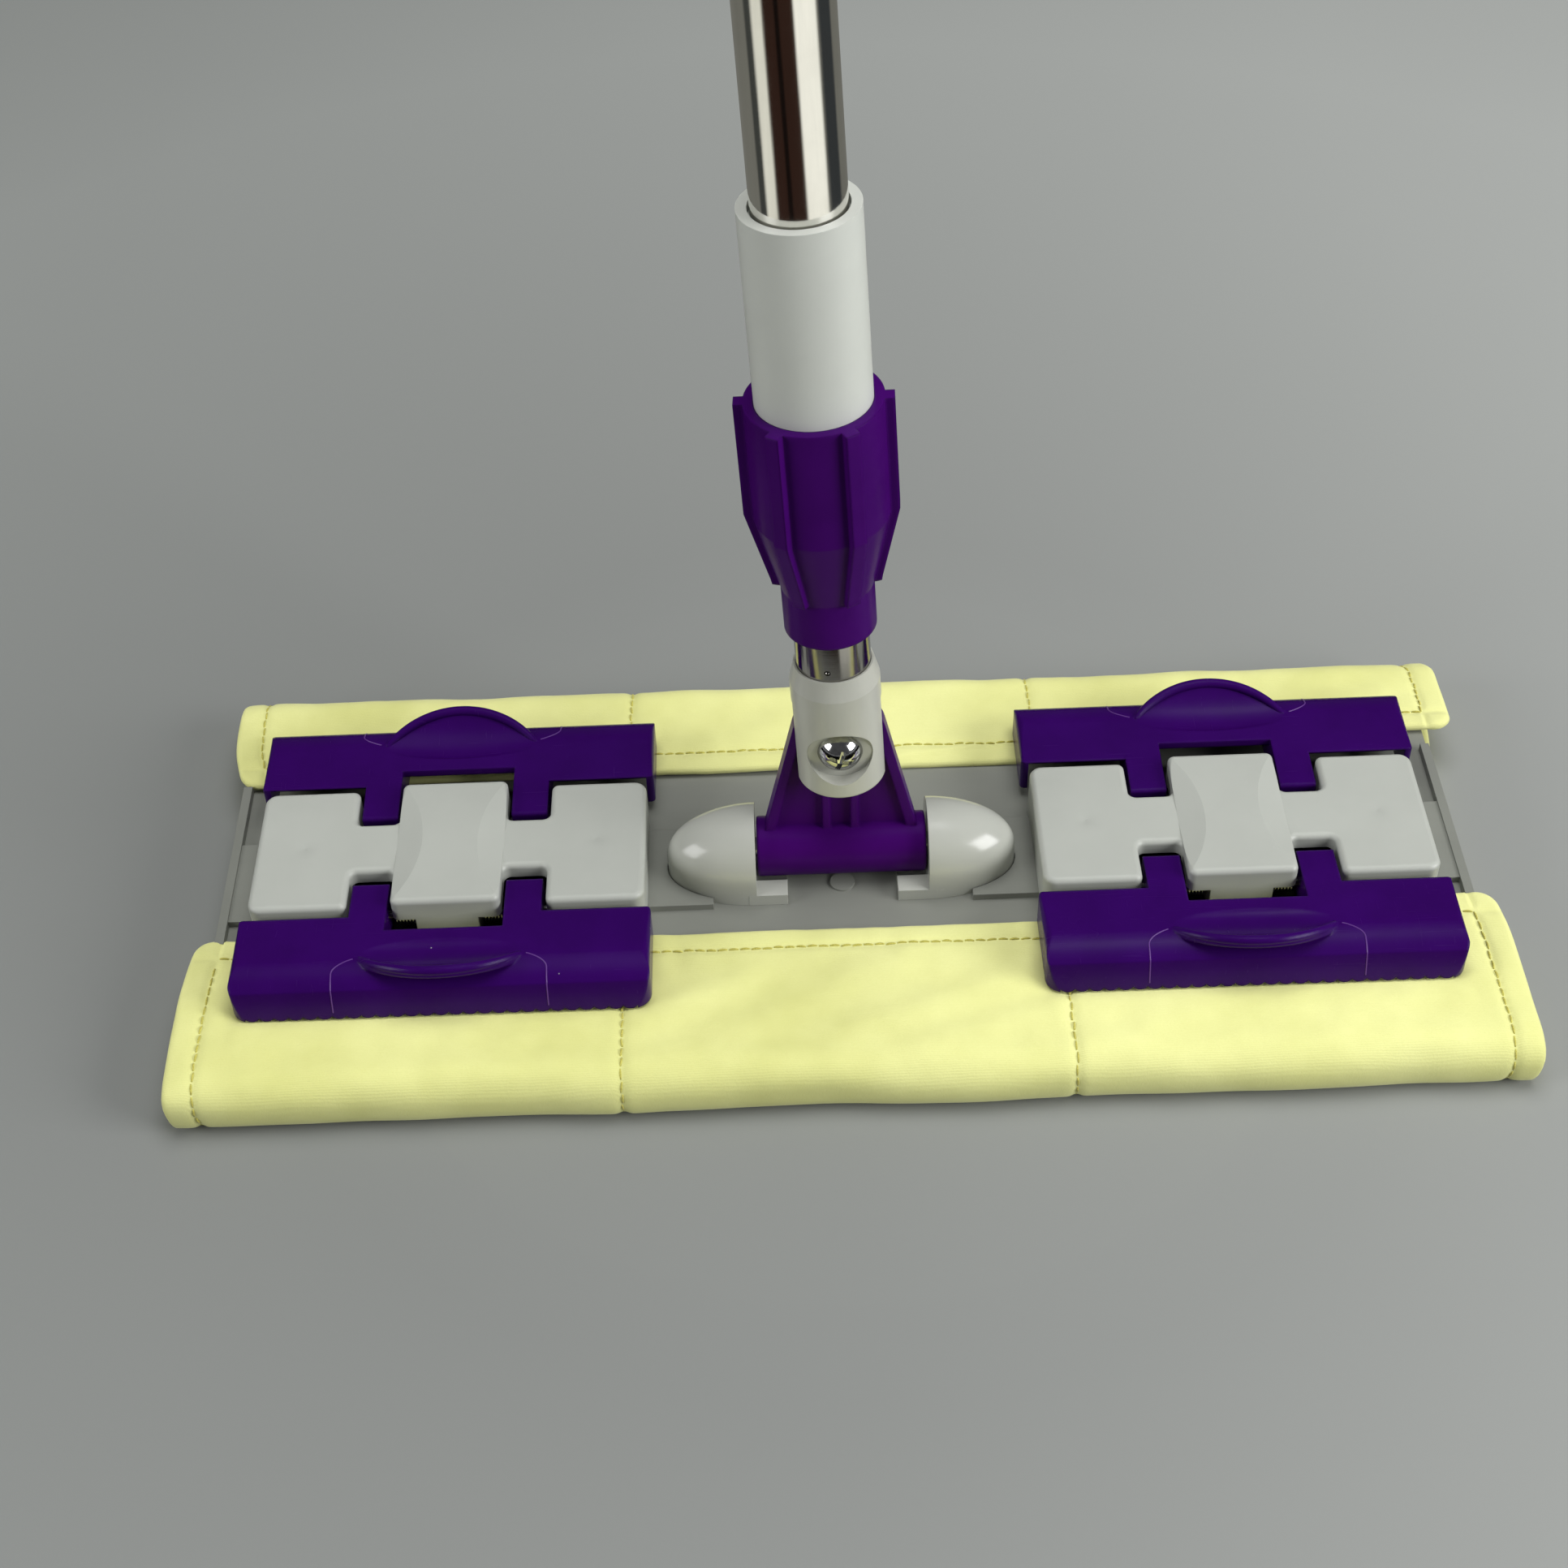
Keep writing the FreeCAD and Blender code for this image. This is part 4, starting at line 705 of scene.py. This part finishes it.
def spring_line(module, sign, direction):
    """Coil, tail and hook of one clip spring; direction is +1 for the coil on the +X side."""
    hinge_y, hinge_z = 19.0 * MM, plate_top + 6.05 * MM
    mean, wire, turns = 2.7 * MM, 0.5 * MM, 6
    start_x = 10.3 * MM + wire
    points = [(start_x, 8.5 * MM, hinge_z - mean)]
    steps = 20
    for k in range(turns * steps - 11):
        turn = -math.pi / 2 + 2 * math.pi * k / steps
        points.append((start_x + 2 * wire * k / steps,
                       hinge_y + mean * math.cos(turn), hinge_z + mean * math.sin(turn)))
    points.append((20.5 * MM, points[-1][1], points[-1][2]))
    return [(module + direction * x, sign * y, z) for x, y, z in points]


def add_springs(material):
    for end, side in jaw_names:
        sign = 1 if end == "back" else -1
        lines = [spring_line(module_x[side], sign, direction) for direction in (-1, 1)]
        piece = curve_piece("spring_wire_%s_%s" % (end, side), lines, 0.45 * MM, material)
        node = "clip_springs_%s_%s" % (end, side)
        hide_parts(node)
        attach(piece, nodes[node]["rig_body"])


def add_tab_beads(material):
    """Rounded bead along the free edge of each finger tab."""
    half_width, reach, inset, sink = 25.4 * MM, 12.7 * MM, 1.25 * MM, 0.75 * MM
    radius = (half_width ** 2 + reach ** 2) / (2 * reach)
    slope = math.radians(27.8)
    base_y, base_z = 44.4 * MM, plate_top + 16.3 * MM
    limit = math.asin(half_width / radius) * 0.97
    for end, side in jaw_names:
        sign = 1 if end == "back" else -1
        points = []
        for k in range(41):
            turn = limit * (k / 20 - 1)
            across = (radius - inset) * math.sin(turn)
            out = reach - radius + (radius - inset) * math.cos(turn)
            points.append((module_x[side] + across,
                           sign * (base_y + out * math.cos(slope) + sink * math.sin(slope)),
                           base_z + out * math.sin(slope) - sink * math.cos(slope)))
        piece = curve_piece("tab_bead_%s_%s" % (end, side), [points], 1.65 * MM, material, 5,
                            lambda t: 0.5 + 0.5 * math.sin(math.pi * t) ** 0.5)
        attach(piece, "jaw_%s_%s" % (end, side))


def add_parting_lines(material):
    """Fine mould line that runs from each end of a finger tab down the jaw to its biting edge."""
    tab_end, spread = 25.6 * MM, 6.2 * MM
    start_y, bite_y = 45.2 * MM, 57.45 * MM
    lowest = plate_top + 3.9 * MM
    graph = bpy.context.evaluated_depsgraph_get()
    for end, side in jaw_names:
        node = nodes["clip_jaw_%s_%s" % (end, side)]
        tree = BVHTree.FromObject(node, graph)
        sign = 1 if end == "back" else -1
        lines = []
        for half in (-1, 1):
            points = []
            for k in range(25):
                t = k / 24
                x = tab_end + spread * math.sin(min(t * 2.2, 1.0) * math.pi / 2)
                y = start_y + (bite_y - start_y) * t ** 1.15
                above = Vector((module_x[side] + half * x, sign * y, 60 * MM))
                spot = tree.ray_cast(above, Vector((0, 0, -1)))[0]
                if spot is not None and spot.z > lowest:
                    points.append(spot)
            lines.append(points)
        piece = curve_piece("parting_lines_%s_%s" % (end, side), lines, 0.2 * MM, material, 2)
        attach(piece, "jaw_%s_%s" % (end, side))


# ---------------------------------------------------------------- put it together

def paint_frame():
    """Give each CAD node its finish."""
    purple = plastic("purple_abs", srgb(44, 4, 82), 0.22, mottle=0.08, peel=0.02, dust=0.55, edge=0.5,
                     edge_radius=1.1 * MM)
    purple.shader.inputs["Specular IOR Level"].default_value = 0.14
    grey_cover = plastic("cover_abs", srgb(170, 173, 166), 0.38, mottle=0.02, peel=0.03, dust=0.25)
    boss_offset, mark_radius = 45.0 * MM, 5.5 * MM
    sink_marks(grey_cover, (module_x["right"], boss_offset), mark_radius)
    grey_plate = plastic("plate_abs", srgb(126, 128, 121), 0.42, mottle=0.04, peel=0.03,
                         flow=(0.3, 1, 1), dust=0.4)
    shade_half_size = (57 * MM, 39 * MM)
    # painted shade on the plate under the two clip covers
    painted_shade_under_covers(grey_plate, module_x["right"], shade_half_size)
    bracket = plastic("bracket_gloss", srgb(173, 175, 167), 0.16, mottle=0.02, peel=0.02, dust=0.3,
                      scratch=0.08)
    sleeve = plastic("sleeve_abs", srgb(200, 203, 196), 0.36, mottle=0.02, peel=0.03)
    socket = plastic("socket_milky", srgb(180, 181, 172), 0.30, mottle=0.05, peel=0.05, scratch=0.3,
                     mottle_scale=90, flow=(1, 1, 0.35))
    chrome = bright_wire("bolt_chrome", (0.82, 0.82, 0.83), 0.05, 0.8)
    wire = bright_wire("spring_steel", (0.60, 0.60, 0.62), 0.14)
    dull_purple = plastic("purple_collar", srgb(60, 7, 94), 0.30, mottle=0.08, peel=0.02, dust=0.55,
                          edge=0.5, edge_radius=1.1 * MM)
    dull_purple.shader.inputs["Specular IOR Level"].default_value = 0.05
    flash = plastic("purple_flash", srgb(92, 50, 128), 0.30, mottle=0.02, dust=0.0, edge=0.0)
    lean = (math.radians(-3), math.radians(2.5), 0)
    steel = polished_steel("tube_steel", srgb(238, 236, 230), 0.06, lean)
    # painted shade: the inner tube gets a darker copy of the tube steel
    shaded_steel = polished_steel("inner_tube_steel_painted_shade", srgb(152, 150, 146), 0.08, lean)
    paint = {"base_plate": grey_plate.material, "pivot_yoke": dull_purple.material,
             "lock_collar": dull_purple.material, "lock_sleeve": sleeve.material,
             "pole_socket": socket.material, "handle_grip": purple.material,
             "end_cap": sleeve.material, "inner_tube": shaded_steel, "outer_tube": steel,
             "inner_tube_bush": sleeve.material, "pivot_bolt": chrome, "pivot_nut": wire,
             "pivot_axle": wire, "bracket_screws": wire}
    for side in ("left", "right"):
        paint["pivot_bracket_" + side] = bracket.material
        paint["clip_cover_" + side] = grey_cover.material
        paint["cover_screws_" + side] = wire
    for end, side in jaw_names:
        paint["clip_jaw_%s_%s" % (end, side)] = purple.material
        paint["hinge_pin_%s_%s" % (end, side)] = wire
        paint["clip_springs_%s_%s" % (end, side)] = wire
    for node, material in paint.items():
        set_material(node, material)
    return purple.material, flash.material, wire


def add_floor():
    size = 12.0
    mesh = bpy.data.meshes.new("floor")
    mesh.from_pydata([(-size, -size, 0), (size, -size, 0), (size, size, 0), (-size, size, 0)], [],
                     [(0, 1, 2, 3)])
    mesh.materials.append(floor_paint_and_painted_light())
    floor = bpy.data.objects.new("floor", mesh)
    bpy.context.scene.collection.objects.link(floor)


def reflection_card():
    """Ring on the floor that only the two tubes see: a room of bright and dark sectors."""
    tree = Tree("room_card")
    split = tree.node("ShaderNodeSeparateXYZ")
    tree.feed(split, {"Vector": tree.coordinates})
    towards = tree.maths("MULTIPLY", split.outputs["Y"], -1.0)
    turn = tree.maths("ARCTAN2", split.outputs["X"], towards)
    turn = tree.maths("MULTIPLY", turn, 180 / math.pi)
    tone = srgb(112, 112, 106)
    for first, last, soft, colour in ROOM_SECTORS:
        inside = tree.maths("MULTIPLY", tree.ramp(turn, first - soft, first + soft),
                            tree.ramp(turn, last + soft, last - soft))
        tone = tree.mix(inside, tone, colour)
    glow = tree.node("ShaderNodeEmission")
    tree.feed(glow, {"Color": tone, "Strength": 1.0})
    tree.links.new(glow.outputs[0], tree.nodes["Material Output"].inputs["Surface"])
    inner, outer, count = 0.15, 1.6, 48
    turns = [2 * math.pi * k / count for k in range(count)]
    points = [(r * math.cos(t), r * math.sin(t), 0.5 * MM) for r in (inner, outer) for t in turns]
    faces = [(k, (k + 1) % count, (k + 1) % count + count, k + count) for k in range(count)]
    mesh = bpy.data.meshes.new("room_card")
    mesh.from_pydata(points, [], faces)
    mesh.materials.append(tree.material)
    card = bpy.data.objects.new("room_card", mesh)
    bpy.context.scene.collection.objects.link(card)
    for ray in ("camera", "diffuse", "shadow", "transmission", "volume_scatter"):
        setattr(card, "visible_" + ray, False)
    mirrors = bpy.data.collections.new("mirrors")
    for node in ("inner_tube", "outer_tube"):
        mirrors.objects.link(nodes[node])
    card.light_linking.receiver_collection = mirrors


# sectors of the room card: first and last bearing from the camera side, softness, colour
ROOM_SECTORS = [
    (-96, -76, 3, srgb(60, 62, 60)),
    (-76, -48, 4, srgb(225, 225, 214)),
    (-48, 20, 4, srgb(48, 32, 26)),
    (-22, -12, 2, srgb(20, 14, 12)),
    (20, 72, 3, srgb(255, 255, 246)),
    (78, 116, 4, srgb(52, 55, 57)),
]


def light_scene():
    overhead = area_light("overhead", (0.15, 0.18, 1.85), (0, 0, 0), (1.5, 1.2), 27)
    overhead.visible_glossy = False
    area_light("window", (1.45, -0.65, 0.78), (0, 0, 0.14), (1.0, 0.8), 26)
    area_light("left window", (-1.55, -0.5, 0.8), (0, 0, 0.14), (0.9, 0.8), 13)
    area_light("roof light", (0.35, 0.1, 1.9), (0, 0, 0), (0.5, 0.35), 1.2)
    world = bpy.data.worlds.new("studio")
    bpy.context.scene.world = world
    world.use_nodes = True
    world.node_tree.nodes["Background"].inputs["Color"].default_value = (0.80, 0.81, 0.82, 1)
    tree = world.node_tree
    seen = tree.nodes.new("ShaderNodeMapRange")
    tree.links.new(tree.nodes.new("ShaderNodeLightPath").outputs["Is Camera Ray"], seen.inputs["Value"])
    seen.inputs["To Min"].default_value = 0.07
    seen.inputs["To Max"].default_value = 0.32
    tree.links.new(seen.outputs["Result"], tree.nodes["Background"].inputs["Strength"])


add_camera()
add_floor()
reflection_card()
light_scene()
purple_material, flash_material, wire_material = paint_frame()
add_springs(wire_material)
add_parting_lines(flash_material)
add_tab_beads(purple_material)

soft_cloth, cloth_rows, cloth_columns, cloth_outer = add_cloth()
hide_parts("mop_cloth")
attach(soft_cloth, "head")
threads = add_stitches(cloth_rows, cloth_columns, cloth_outer)
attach(threads, "head")

bpy.context.scene.view_settings.view_transform = "Standard"
